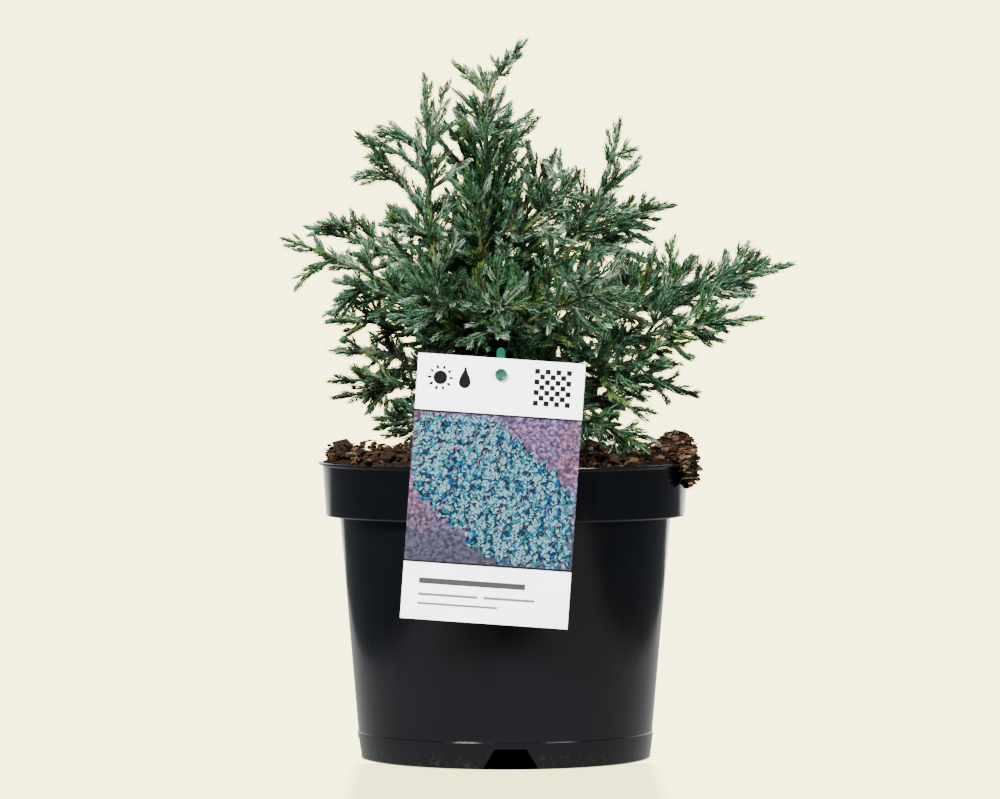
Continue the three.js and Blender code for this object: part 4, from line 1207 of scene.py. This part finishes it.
# Single twigs that reach out of the masses: the mass, the share of its stem that bears the
# twig, the twig's tip, and how far its middle bows upwards as a share of its length.
loneTwigs = [
    ("leader", 0.47, (-25, 4, 352), -0.06),
    ("leader", 0.2, (0, -6, 339), -0.06),
    ("leader", 0.3, (-25, -4, 338), -0.1),
    ("leader", 0.12, (-25, -10, 328), -0.1),
    ("leader", 0.15, (15, 8, 328), -0.08),
    ("left_spire", 0.8, (-29, -28, 342), -0.06),
    ("left_spire", 0.78, (-64, -30, 316), 0.34),
    ("left_spire", 0.7, (-73, -26, 312), 0.3),
    ("left_crest", 0.76, (-69, -22, 304), -0.03),
    ("left_crest", 0.68, (-77, -20, 294), 0.4),
    ("right_crest", 0.7, (11, 26, 315), 0.04),
    ("front_right_crest", 0.85, (26, -38, 307), -0.05),
    ("right_spire", 0.86, (68, -22, 309), -0.02),
    ("right_spire", 0.6, (36, -18, 297), 0.02),
    ("right_spire", 0.66, (43, -20, 288), 0),
    ("right_spire", 0.7, (68, -16, 301), -0.04),
    ("right_shoulder", 0.75, (79, 10, 273), 0.05),
    ("right_shoulder", 0.68, (74, 6, 267), 0.04),
    ("right_shoulder", 0.6, (65, 0, 261), 0),
    ("right_long", 0.48, (77, -12, 259), -0.06),
    ("right_long", 0.6, (84, -8, 264), -0.02),
    ("right_long", 0.5, (90, 8, 247), 0),
    ("back_right", 0.75, (74, 22, 248), 0.04),
    ("right_long", 0.42, (70, -14, 257), -0.02),
    ("right_shoulder", 0.5, (76, -4, 250), 0.06),
    ("right_long", 0.6, (95, -10, 254), -0.05),
    ("right_long", 0.68, (106, -8, 252), -0.02),
    ("right_long", 0.72, (125, 0, 260), -0.08),
    ("right_long", 0.76, (132, 4, 252), 0.04),
    ("right_long", 0.72, (125, -14, 235), -0.02),
    ("right_shelf", 0.76, (119, -28, 229), 0.04),
    ("right_shelf", 0.5, (76, -34, 212), 0.02),
    ("front_right", 0.8, (70, -56, 221), 0),
    ("left_shoulder", 0.72, (-100, 14, 267), 0.5),
    ("left_shoulder", 0.8, (-83, 16, 276), 0),
    ("left_long", 0.74, (-108, -12, 237), 0.32),
    ("left_droop", 0.82, (-88, -14, 223), 0.25),
    ("left_shelf", 0.78, (-79, 4, 215), 0),
    ("left_skirt", 0.6, (-86, -6, 183), -0.06),
    ("left_skirt", 0.66, (-70, -16, 175), -0.04),
    ("left_foot", 0.6, (-66, -32, 172), 0),
    ("left_lower", 0.6, (-68, -2, 203), 0.02),
    ("left_foot", 0.5, (-60, -46, 163), -0.02),
    ("front_right_foot", 0.72, (76, -44, 162), -0.02),
    ("front_right_foot", 0.5, (50, -62, 160), 0.04),
    ("right_skirt", 0.6, (47, -40, 206), 0.04),
    ("front_right_low", 0.6, (38, -60, 212), 0.04),
    ("right_skirt", 0.86, (99, 4, 183), 0.05),
    ("right_shelf", 0.36, (34, -16, 207), 0),
    ("right_shelf", 0.42, (47, -12, 212), 0),
]
# Short twigs that fill the crown round the trunk and the bare boughs, dealt mostly dark kinds as painted
# shade of the crown's inside.
inner = {
    "lowest": 168, "highest": 300, "step": 3.4, "length": 30, "topLength": 31,
    "open": 66, "topOpen": 30, "topFrom": 262, "boughStep": 6.5, "boughLength": 20, "boughOpen": 52,
    "bend": (0.4, 0.25), "varies": (0.75, 1.25), "turnBetween": 77, "steepens": 30,
}
# How far foliage keeps off the rim, the soil and the lump, off the label at its sides (as a
# share of its width), top and back, and how far it may pass the tip of its mass.
clearance = {
    "rim": 3, "soil": 3, "lump": 2, "labelSide": 0.6, "labelTop": 5, "labelBack": 6, "pastTip": 0.5,
}
stems = {
    # material, its two colours, rings, sides, and radii at the root and the tip
    "massStems": ("youngStem", (104, 118, 56), (150, 158, 88), 44, 8, 1.3, 0.7),
    "twigs": ("greenTwig", (76, 92, 50), (122, 134, 76), 9, 4, 0.8, 0.4),
    "shoots": ("greenShoot", (58, 84, 48), (92, 116, 66), 4, 3, 0.55, 0.3),
}


def arcParts(shapes, share):
    # The share as a column, and the three control points of each arc shaped to go with it.
    share = np.asarray(share)[..., None]
    return share, *(shapes[:, n].reshape(len(shapes), *[1] * (share.ndim - 2), 3) for n in range(3))


def bezier(shapes, share):
    # Points of quadratic arcs. shapes is N by 3 control points by 3, share is N or N by M.
    share, root, middle, tip = arcParts(shapes, share)
    return root * (1 - share) ** 2 + 2 * middle * share * (1 - share) + tip * share ** 2


def bezierHeading(shapes, share):
    share, root, middle, tip = arcParts(shapes, share)
    return unit((middle - root) * (1 - share) + (tip - middle) * share)


def pointsOn(shapes, shares):
    # Points at the same shares of every arc.
    return bezier(shapes, np.broadcast_to(shares, (len(shapes), len(shares))))


def bentArcs(roots, heading, later, reach):
    # Arcs that leave their roots along one direction and end along another.
    middle = roots + heading * reach / 2
    return np.stack([roots, middle, middle + later * reach / 2], axis=1)


def bowed(heading, along, bend):
    return unit(heading + along * bend[0] + upward * bend[1])


def leaned(along, outward, angle):
    # The direction that leans from along towards outward by an angle.
    angle = np.reshape(angle, (-1, 1))
    return along * np.cos(angle) + outward * np.sin(angle)


def arcLength(shapes):
    return np.linalg.norm(np.diff(shapes, axis=1), axis=-1).sum(axis=1)


def distances(points):
    # The distance from each point to the chain of every mass: N by masses.
    starts, ends = chains[:, :-1], chains[:, 1:]
    span = ends - starts
    offset = points[:, None, None] - starts
    share = np.clip((offset * span).sum(-1) / (span * span).sum(-1), 0, 1)
    return np.linalg.norm(offset - share[..., None] * span, axis=-1).min(axis=-1)


def clearOfThings(points, mass):
    # Above the soil and the rim, off the lump, behind the label and behind the tip's plane.
    radius = np.hypot(points[..., 0], points[..., 1])
    over = radius < pot["lipRadius"] + clearance["rim"]
    ground = np.maximum(soilHeight(radius), pot["height"]) + clearance["soil"]
    good = ~(over & (points[..., 2] < ground))
    toLump = np.linalg.norm(points - lump["centre"], axis=-1)
    good &= ~(over & (toLump < lump["size"][1] + clearance["lump"]))
    behind = np.abs(points[..., 0]) < label["width"] * clearance["labelSide"]
    behind &= points[..., 2] < label["hole"][1] + peg["above"] + clearance["labelTop"]
    good &= ~(behind & (points[..., 1] < holeSpot[1] + clearance["labelBack"]))
    return good & ((points - mass["tipPoint"]) @ mass["tipHeading"] < clearance["pastTip"])


def inOwnSpace(points, mass, index):
    flat = points.reshape(-1, 3)
    reach = distances(flat)
    own = reach[:, index].copy()
    reach[:, index] = np.inf
    good = clearOfThings(flat, mass) & (reach.min(axis=1) > own + growth["ownMargin"])
    return good.reshape(points.shape[:-1]).all(axis=-1)


def largestFit(shapesAt, sizes, share, mass, index):
    # The first size at which each arc keeps to its mass's space, tested at shares of it.
    # Returns the arcs that fit at some size, and their numbers.
    chosen = shapesAt(sizes[0])
    scale = np.zeros(len(chosen))
    for size in sizes:
        shapes = shapesAt(size)
        points = pointsOn(shapes, share)
        fits = inOwnSpace(points, mass, index) & (scale == 0)
        chosen[fits] = shapes[fits]
        scale[fits] = size
    return chosen[scale > 0], np.flatnonzero(scale > 0)


def leavesSky(shapes):
    # Whether the outer half of each arc shows in no place of sky. The camera sees a point
    # where its ray meets the plane of the trunk.
    points = pointsOn(shapes, [0.5, 0.75, 1])
    depth = 1 + points[..., 1:2] / camera["distance"]
    eye = np.array([camera["x"], camera["height"]])
    seen = eye + (points[..., ::2] - eye) / depth
    gap = np.linalg.norm(seen[:, :, None] - skyPlaces[:, :2], axis=-1)
    return (gap > skyPlaces[:, 2]).all(axis=(1, 2))


def cutBack(shapes):
    # Each limb at the first size at which it leaves the sky open, or out.
    size = np.zeros(len(shapes))
    for share in growth["cutSizes"]:
        fits = leavesSky(mix(shapes[:, :1], shapes, share)) & (size == 0)
        size[fits] = share
    grown = size > 0
    return mix(shapes[:, :1], shapes, size[:, None, None])[grown], grown


def growTwigs(mass, index):
    # The twigs' roots on the stem, their directions and lengths, as in the solids' rule.
    line = mass["line"]
    length = pathLength(line) * (1 - mass["start"])
    count = 2 * max(2, round(length / growth["twigSpacing"] / 2))
    k = np.arange(count)
    side = turnZ(mass["azimuth"])[:, 1]
    share = (k + mix(*growth["shift"], chance(index, k, 1))) / count
    at = mix(mass["start"], mix(mass["start"], 1, growth["lastTwig"]), share)
    roots, along = alongPath(line, at)
    top = np.cross(along, side)
    turn = np.radians(k * growth["turn"] + index * growth["turnBetween"])[:, None]
    outward = unit(side * np.cos(turn) + top * np.sin(turn) * growth["flatness"])
    opened = mix(growth["openAtBase"], growth["openAtTip"], share)
    opened = np.radians(opened + growth["openVaries"] * (chance(index, k, 2) - 0.5))
    heading = leaned(along, outward, opened)
    bend = bowed(heading, along, growth["twigBend"])
    varied = mix(*growth["twigVaries"], chance(index, k, 3))
    size = mass["spread"] * mix(1, growth["twigTaper"], share) * varied

    shapesAt = lambda scale: bentArcs(roots, heading, bend, (size * scale)[:, None])
    shapes, kept = largestFit(shapesAt, growth["twigSizes"], growth["twigTests"], mass, index)
    shapes, grown = cutBack(shapes)
    return shapes, outward[kept][grown], heading[kept][grown]


def growSprays(mass, index, twigs, outward, heading, free=0):
    # Two side sprays on each twig, by turns to its left and right. Free ones, which have a
    # size of their own, keep to no mass's space.
    found = []
    for number, (at, size) in enumerate(zip(growth["sprayPlaces"], growth["sprayShares"])):
        hand = 1 if number % 2 else -1
        shares = np.full(len(twigs), at)
        roots, along = bezier(twigs, shares), bezierHeading(twigs, shares)
        sideways = unit(np.cross(outward, heading))
        varied = chance(index, np.arange(len(twigs)), number + 5) - 0.5
        opened = np.radians(growth["sprayOpen"] + growth["sprayVaries"] * varied) * hand
        aim = unit(leaned(along, sideways, opened))
        later = bowed(aim, along, growth["sprayBend"])
        longest = arcLength(twigs) * growth["longestSpray"]
        reach = np.minimum(growth["sprayLength"] * size, longest)[:, None]

        shapesAt = lambda scale: bentArcs(roots, aim, later, reach * scale)
        if free:
            shapes = shapesAt(free)
            shapes = shapes[clearOfThings(shapes[:, 1:], mass).all(axis=1)]
        else:
            shapes, _ = largestFit(shapesAt, growth["spraySizes"], growth["sprayTests"], mass, index)
        found.append(shapes)
    return cutBack(np.concatenate(found))[0]


def stemEnd(mass):
    # The outer stretch of a mass's stem as two arcs, so that it bears shoots to its tip.
    marks = [*growth["endFrom"], 1.0]
    places, along = alongPath(mass["line"], np.array(marks))
    arcs = []
    for root, tip, leaving in zip(places[:-1], places[1:], along[:-1]):
        arcs.append([root, root + leaving * np.linalg.norm(tip - root) / 2, tip])
    return np.array(arcs)


# A stand-in for a mass, whose tip sets no limit.
nowhere = {"tipPoint": np.zeros(3), "tipHeading": np.zeros(3)}


def dressed(twigs, outward, heading, index, free):
    # Twigs that keep to no mass's space, with their sprays and shoots.
    sprays = growSprays(nowhere, index, twigs, outward, heading, free)
    limbs = np.concatenate([twigs, sprays])
    return limbs, *growShoots(nowhere, limbs)


def growInner():
    # Twigs round the trunk, longer and steeper at its top, and round the bare boughs.
    height = np.arange(inner["lowest"], inner["highest"], inner["step"])
    k = np.arange(len(height))
    foot, tip = trunk["path"][0][2], trunk["path"][-1][2]
    roots, along = alongPath(trunkPath, (height - foot) / (tip - foot))
    turn = np.radians(k * growth["turn"])
    outward = np.stack([np.cos(turn), np.sin(turn), 0 * turn], axis=-1)
    high = np.clip((height - inner["topFrom"]) / inner["steepens"] + 1, 0, 1)
    opened = mix(inner["open"], inner["topOpen"], high)
    length = mix(inner["length"], inner["topLength"], high)
    starts = [(roots, along, outward, opened, length)]
    for number, bough in enumerate(boughs):
        if not bough["bare"]:
            continue
        reach = pathLength(bough["line"]) * bough["bare"]
        count = int(reach / inner["boughStep"])
        share = bough["bare"] * (np.arange(count) + 0.6) / count
        roots, along = alongPath(bough["line"], share)
        side = turnZ(bough["azimuth"])[:, 1]
        turn = np.radians(np.arange(count) * growth["turn"] + number * inner["turnBetween"])
        outward = unit(leaned(side, np.cross(along, side), turn))
        alike = np.ones(count)
        starts.append((roots, along, outward, alike * inner["boughOpen"], alike * inner["boughLength"]))
    roots, along, outward, opened, length = (np.concatenate(part) for part in zip(*starts))
    heading = leaned(along, outward, np.radians(opened))
    bend = bowed(heading, along, inner["bend"])
    length = (length * mix(*inner["varies"], chance(np.arange(len(roots)), 4, 8)))[:, None]
    twigs = bentArcs(roots, heading, bend, length)
    good = clearOfThings(twigs[:, 1:], nowhere).all(axis=1)
    return dressed(twigs[good], outward[good], heading[good], 40, 1)


def growLoneTwigs():
    lines = {mass["name"]: mass["line"] for mass in masses}
    roots = np.array([alongPath(lines[name], np.array([share]))[0][0] for name, share, *_ in loneTwigs])
    ends = np.array([tip for *_, tip, _ in loneTwigs], float)
    ends -= unit(ends - roots) * needleReach
    bow = np.array([bow for *_, bow in loneTwigs])[:, None]
    middle = (roots + ends) / 2 + upward * bow * np.linalg.norm(ends - roots, axis=1)[:, None]
    twigs = np.stack([roots, middle, ends], axis=1)
    heading = unit(middle - roots)
    outward = np.tile([0.0, -1.0, 0.0], (len(twigs), 1))
    return dressed(twigs, outward, heading, 50, growth["freeSpray"])


def growShoots(mass, shapes):
    # Short shoots along twigs and sprays, to the left and right by turns and off the plane
    # by chance, shorter and closer to the axis towards its tip.
    length = arcLength(shapes)
    count = np.maximum(1, (length / growth["shootStep"]).astype(int))
    owner = np.repeat(np.arange(len(shapes)), count)
    number = np.arange(count.sum()) - (np.cumsum(count) - count)[owner]
    step = number + dice.uniform(0.2, 0.8, len(owner))
    share = growth["shootFrom"] + growth["shootOver"] * step / count[owner]
    roots, along = bezier(shapes[owner], share), bezierHeading(shapes[owner], share)
    turn = np.pi * number + dice.normal(0, growth["shootSway"], len(owner))
    turn += chance(owner, 3) * growth["shootTurn"]
    level = unit(np.cross(along, upward) + 1e-6)
    over = np.cross(level, along)
    outward = leaned(level, over, turn)
    opened = mix(growth["shootOpen"], growth["shootOpenAtTip"], share) + dice.normal(0, 5, len(owner))
    aim = leaned(along, outward, np.radians(opened))
    later = bowed(aim, along, growth["shootBend"])
    varied = dice.uniform(*growth["shootVaries"], len(owner))
    reach = mix(growth["shootLong"], growth["shootShort"], share) * varied
    reach *= np.clip(length[owner] / growth["fullLimb"], growth["leastShoot"], 1)
    made = bentArcs(roots, aim, later, reach[:, None])
    good = clearOfThings(made[:, 2], mass)
    return made[good], owner[good]


# Stems that end early, where a lone twig shows the way the photo's limb takes.
keptStems = {"left_high": 0.74, "left_droop": 0.8, "right_skirt": 0.82}
leaderLine = smoothPath(leader["path"])
masses = [dict(bough) for bough in boughs] + [dict(leader, line=leaderLine)]
for mass in masses:
    fromTrunk = mass["bare"] == 0 and mass["name"] != "leader"
    kept = keptStems.get(mass["name"], 1)
    mass["line"] = mass["line"][:int(len(mass["line"]) * kept)]
    mass["start"] = 0 if fromTrunk else mass["bare"] / kept + 0.3 / pathLength(mass["line"])
    ends, headings = alongPath(mass["line"], np.array([1.0]))
    mass["tipPoint"], mass["tipHeading"] = ends[0], headings[0]
chains = np.stack([alongPath(mass["line"], np.linspace(0.12, 1, 15))[0] for mass in masses])

dice = np.random.default_rng(11)
kinds = ["Deep", "Green", "Blue", "Pale", "Fresh", "Brown", "Shaded"]
outerShares = [0.17, 0.32, 0.24, 0.20, 0.07]
# Kinds for the inner twigs, mostly dark: painted shade inside the crown.
shadedInnerShares = [0.46, 0.34, 0.08, 0.02, 0.10]
brownShoots = 0.02
ownKinds = 0.6
# Painted light on the crown's top: heights between which the share of sprays that are dealt one kind lighter
# grows to its most.
paintedLightHigh = {"from": 225, "to": 315, "most": 0.75}
# Painted shade: the same for dark grey green sprays, towards the soil, with fewer of them at the right.
dusky = {"from": 235, "to": 190, "most": 0.55, "atRight": 0.12}


def dealKinds(limbs, shoots, owner, shares):
    # A kind for each limb. Six shoots in ten are dealt apart from the limb that bears
    # them, and a few shoots are brown.
    limbKind = dice.choice(len(shares), len(limbs), p=shares)
    own = dice.choice(len(shares), len(shoots), p=shares)
    shootKind = np.where(dice.random(len(shoots)) < ownKinds, own, limbKind[owner])
    shootKind[dice.random(len(shoots)) < brownShoots] = kinds.index("Brown")
    return np.concatenate([limbKind, shootKind])


def growAll():
    # One heap at a time: the shares of its kinds, and its limbs, shoots and their owners.
    for index, mass in enumerate(masses):
        twigs, outward, heading = growTwigs(mass, index)
        sprays = growSprays(mass, index, twigs, outward, heading)
        limbs = np.concatenate([twigs, sprays, stemEnd(mass)])
        yield outerShares, limbs, *growShoots(mass, limbs)
    yield shadedInnerShares, *growInner()
    yield outerShares, *growLoneTwigs()


def shareAt(height, change):
    # From 0 at one height to the most at another.
    return np.clip((height - change["from"]) / (change["to"] - change["from"]), 0, 1) * change["most"]


allLimbs, allShoots, allKinds = [], [], []
for shares, limbs, shoots, owner in growAll():
    allKinds.append(dealKinds(limbs, shoots, owner, shares))
    allLimbs.append(limbs)
    allShoots += [limbs, shoots]
allLimbs, allShoots, allKinds = map(np.concatenate, (allLimbs, allShoots, allKinds))
across, _, height = allShoots[:, 0].T
# Painted light: higher sprays are dealt one kind lighter.
paintedLighter = (allKinds < kinds.index("Pale")) & (dice.random(len(height)) < shareAt(height, paintedLightHigh))
allKinds = np.where(paintedLighter, allKinds + 1, allKinds)
# Painted shade: lower sprays, most of them at the left, are dealt the dark grey green kind.
paintedShadeShare = shareAt(height, dusky) * np.where(across < 0, 1, dusky["atRight"])
allKinds = np.where(dice.random(len(height)) < paintedShadeShare, kinds.index("Shaded"), allKinds)
print("grown:", len(allLimbs), "twigs and sprays,", len(allShoots) - len(allLimbs), "shoots,",
      round(arcLength(allShoots).sum() / 1000, 1), "m")


# Needles

needle = {
    "length": 5.1, "width": 1.1, "keel": 0.3, "belly": 0.42, "open": 28, "tipOpen": 13,
    "step": 1.12, "stemStep": 1.7, "stemLength": 6.3, "stemOpen": 44,
    # How far the last pairs of a shoot open, and their length, from its tip inwards.
    "closing": (0.45, 0.72, 0.9, 1), "shortening": (0.82, 0.92, 0.97, 1),
    # Long twigs may end in a brown bud: its pairs, the least length and the share of twigs.
    "bud": 4, "budFrom": 15, "buds": 0.3,
    # The same on the stems, and the share of each stem with fresh needles.
    "stemClosing": (0.25, 0.45, 0.6, 0.8, 1), "stemShortening": (0.7, 0.8, 0.9, 0.95, 1), "fresh": 0.55,
    # By how much the opening and length of single needles vary.
    "openVaries": (0.82, 1.2), "lengthVaries": (0.8, 1.15),
    # How far out of the middle of its shoot or stem a needle starts.
    "shootDepth": 0.25, "stemDepth": (1.1, 0.35),
    "mostInPiece": 16500,
}
needleTints = {
    # one half of the outer face; the other half, with its pale bloom, and the inner face
    "Deep": (colour(22, 60, 34), colour(62, 118, 76)),
    "Green": (colour(42, 96, 50), colour(108, 170, 114)),
    "Blue": (colour(48, 104, 74), colour(130, 188, 148)),
    "Pale": (colour(98, 146, 106), colour(208, 240, 206)),
    "Fresh": (colour(74, 120, 46), colour(136, 180, 92)),
    "Brown": (colour(62, 48, 42), colour(116, 96, 82)),
    # dark grey green, painted shade for low sprays
    "Shaded": (colour(22, 36, 26), colour(78, 98, 78)),
}


def nodesOn(shapes, kindOf, dice):
    # Places along each arc that bear a pair of needles. The pairs turn by a right angle
    # from one place to the next, and close up at the tip.
    length = arcLength(shapes)
    count = np.maximum(3, (length / needle["step"]).astype(int))
    owner = np.repeat(np.arange(len(shapes)), count)
    number = np.arange(count.sum()) - (np.cumsum(count) - count)[owner]
    share = 0.04 + 0.96 * (number + 0.7) / count[owner]
    toTip = count[owner] - 1 - number
    bud = (toTip < needle["bud"]) & (length[owner] > needle["budFrom"]) & (chance(owner, 5) < needle["buds"])
    return {
        "place": bezier(shapes[owner], share),
        "along": bezierHeading(shapes[owner], share),
        "turn": np.pi / 2 * number + chance(owner, 9) * np.pi + dice.normal(0, 0.14, len(owner)),
        "open": needle["open"] * np.array(needle["closing"])[np.minimum(toTip, 3)],
        "length": needle["length"] * np.array(needle["shortening"])[np.minimum(toTip, 3)],
        "kind": np.where(bud, kinds.index("Brown"), kindOf[owner]),
        "radius": np.full(len(owner), needle["shootDepth"]),
    }


def nodesOnStem(mass, dice):
    length = pathLength(mass["line"]) * (1 - mass["start"])
    count = int(length / needle["stemStep"])
    share = (np.arange(count) + 0.8) / count
    place, along = alongPath(mass["line"], mix(mass["start"], 1, share))
    toTip = count - 1 - np.arange(count)
    return {
        "place": place, "along": along,
        "turn": np.pi / 2 * np.arange(count) + dice.normal(0, 0.2, count),
        "open": needle["stemOpen"] * np.array(needle["stemClosing"])[np.minimum(toTip, 4)],
        "length": needle["stemLength"] * np.array(needle["stemShortening"])[np.minimum(toTip, 4)],
        "kind": np.where(share < needle["fresh"], kinds.index("Fresh"), kinds.index("Green")),
        "radius": mix(*needle["stemDepth"], share),
    }


def needleMesh(nodes, dice):
    # Two needles at each place, on opposite sides. A needle has five corners: its root,
    # two edges and a keel a little below the middle, and a tip that leans in.
    place, along = np.repeat(nodes["place"], 2, axis=0), np.repeat(nodes["along"], 2, axis=0)
    count = len(place)
    turn = np.repeat(nodes["turn"], 2) + np.tile([0, np.pi], count // 2) + dice.normal(0, 0.12, count)
    opened = np.radians(np.repeat(nodes["open"], 2) * dice.uniform(*needle["openVaries"], count))
    length = (np.repeat(nodes["length"], 2) * dice.uniform(*needle["lengthVaries"], count))[:, None]
    steady = np.where(np.abs(along[:, 2:]) < 0.8, upward, [1.0, 0, 0])
    level = unit(np.cross(along, steady))
    over = np.cross(along, level)
    outward, across = leaned(level, over, turn), leaned(over, -level, turn)
    lower, keelward = leaned(along, outward, opened), leaned(outward, -along, opened)
    upper = leaned(along, outward, opened * needle["tipOpen"] / needle["open"])
    root = place + outward * np.repeat(nodes["radius"], 2)[:, None] * 0.7
    middle = root + lower * length * needle["belly"]
    half = across * needle["width"] / 2 * (0.75 + 0.25 * length / needle["length"])
    corners = [root, middle + half, middle + keelward * needle["keel"], middle - half,
               middle + upper * length * (1 - needle["belly"])]
    points = np.stack(corners, axis=1).reshape(-1, 3)
    facets = np.array([[0, 1, 2], [0, 2, 3], [4, 2, 1], [4, 3, 2], [0, 3, 1], [4, 1, 3]])
    faces = (facets + 5 * np.arange(count)[:, None, None]).reshape(-1, 3)
    dealt = np.tile([0, 1, 0, 1, 1, 1], count)
    return points, faces, dealt


def needleMaterials(name):
    made = []
    for side, base, rough in zip(("Green", "Bloom"), needleTints[name], (0.45, 0.55)):
        made.append(newMaterial("needle" + name + side, base, rough, Specular_IOR_Level=0.18)[0])
    return made


def makeNeedles():
    dice = np.random.default_rng(5)
    groups = [nodesOn(allShoots, allKinds, dice)] + [nodesOnStem(mass, dice) for mass in masses]
    nodes = {key: np.concatenate([group[key] for group in groups]) for key in groups[0]}
    foliage = ["foliage_" + mass["name"] for mass in masses]
    total = 0
    for number, name in enumerate(kinds):
        chosen = np.flatnonzero(nodes["kind"] == number)
        materials = needleMaterials(name)
        pieces = int(np.ceil(len(chosen) / needle["mostInPiece"]))
        for part, some in enumerate(np.array_split(chosen, pieces)):
            points, faces, dealt = needleMesh({key: value[some] for key, value in nodes.items()}, dice)
            piece = addMesh(f"needles{name}{part + 1}", points, [faces], materials, dealt, smooth=False)
            keep(piece, "foliage", *foliage)
            foliage = []
            total += len(faces)
    print("needles:", total // 6, "with", total, "triangles")


def makeStem(name, pointsAt, taper=1):
    # Tubes along lines, whose points at an array of shares come from pointsAt.
    material, dark, light, rings, sides, thick, thin = stems[name]
    share = np.linspace(0, 1, rings)
    centres = pointsAt(share)
    radii = np.tile(mix(thick, thin, share ** taper), (len(centres), 1))
    dark, light = colour(*dark), colour(*light)
    finish = mottled(material, dark, light, 0.6, (2.5, 3), (0.8, 3), (0.4, 0.15), 0.15)
    keep(addMesh(name, *tubes(centres, radii, sides), [finish]), "foliage")


def stemPoints(share):
    # The stems start a little inside the bough's tip or the trunk.
    starts = [max(mass["start"] - 1.2 / pathLength(mass["line"]), 0) for mass in masses]
    return np.stack([alongPath(mass["line"], mix(start, 1, share))[0] for start, mass in zip(starts, masses)])


def makeStems():
    makeStem("massStems", stemPoints, 0.8)
    makeStem("twigs", lambda share: pointsOn(allLimbs, share))
    makeStem("shoots", lambda share: pointsOn(allShoots, share))


makeStems()
makeNeedles()
print("foliage made")
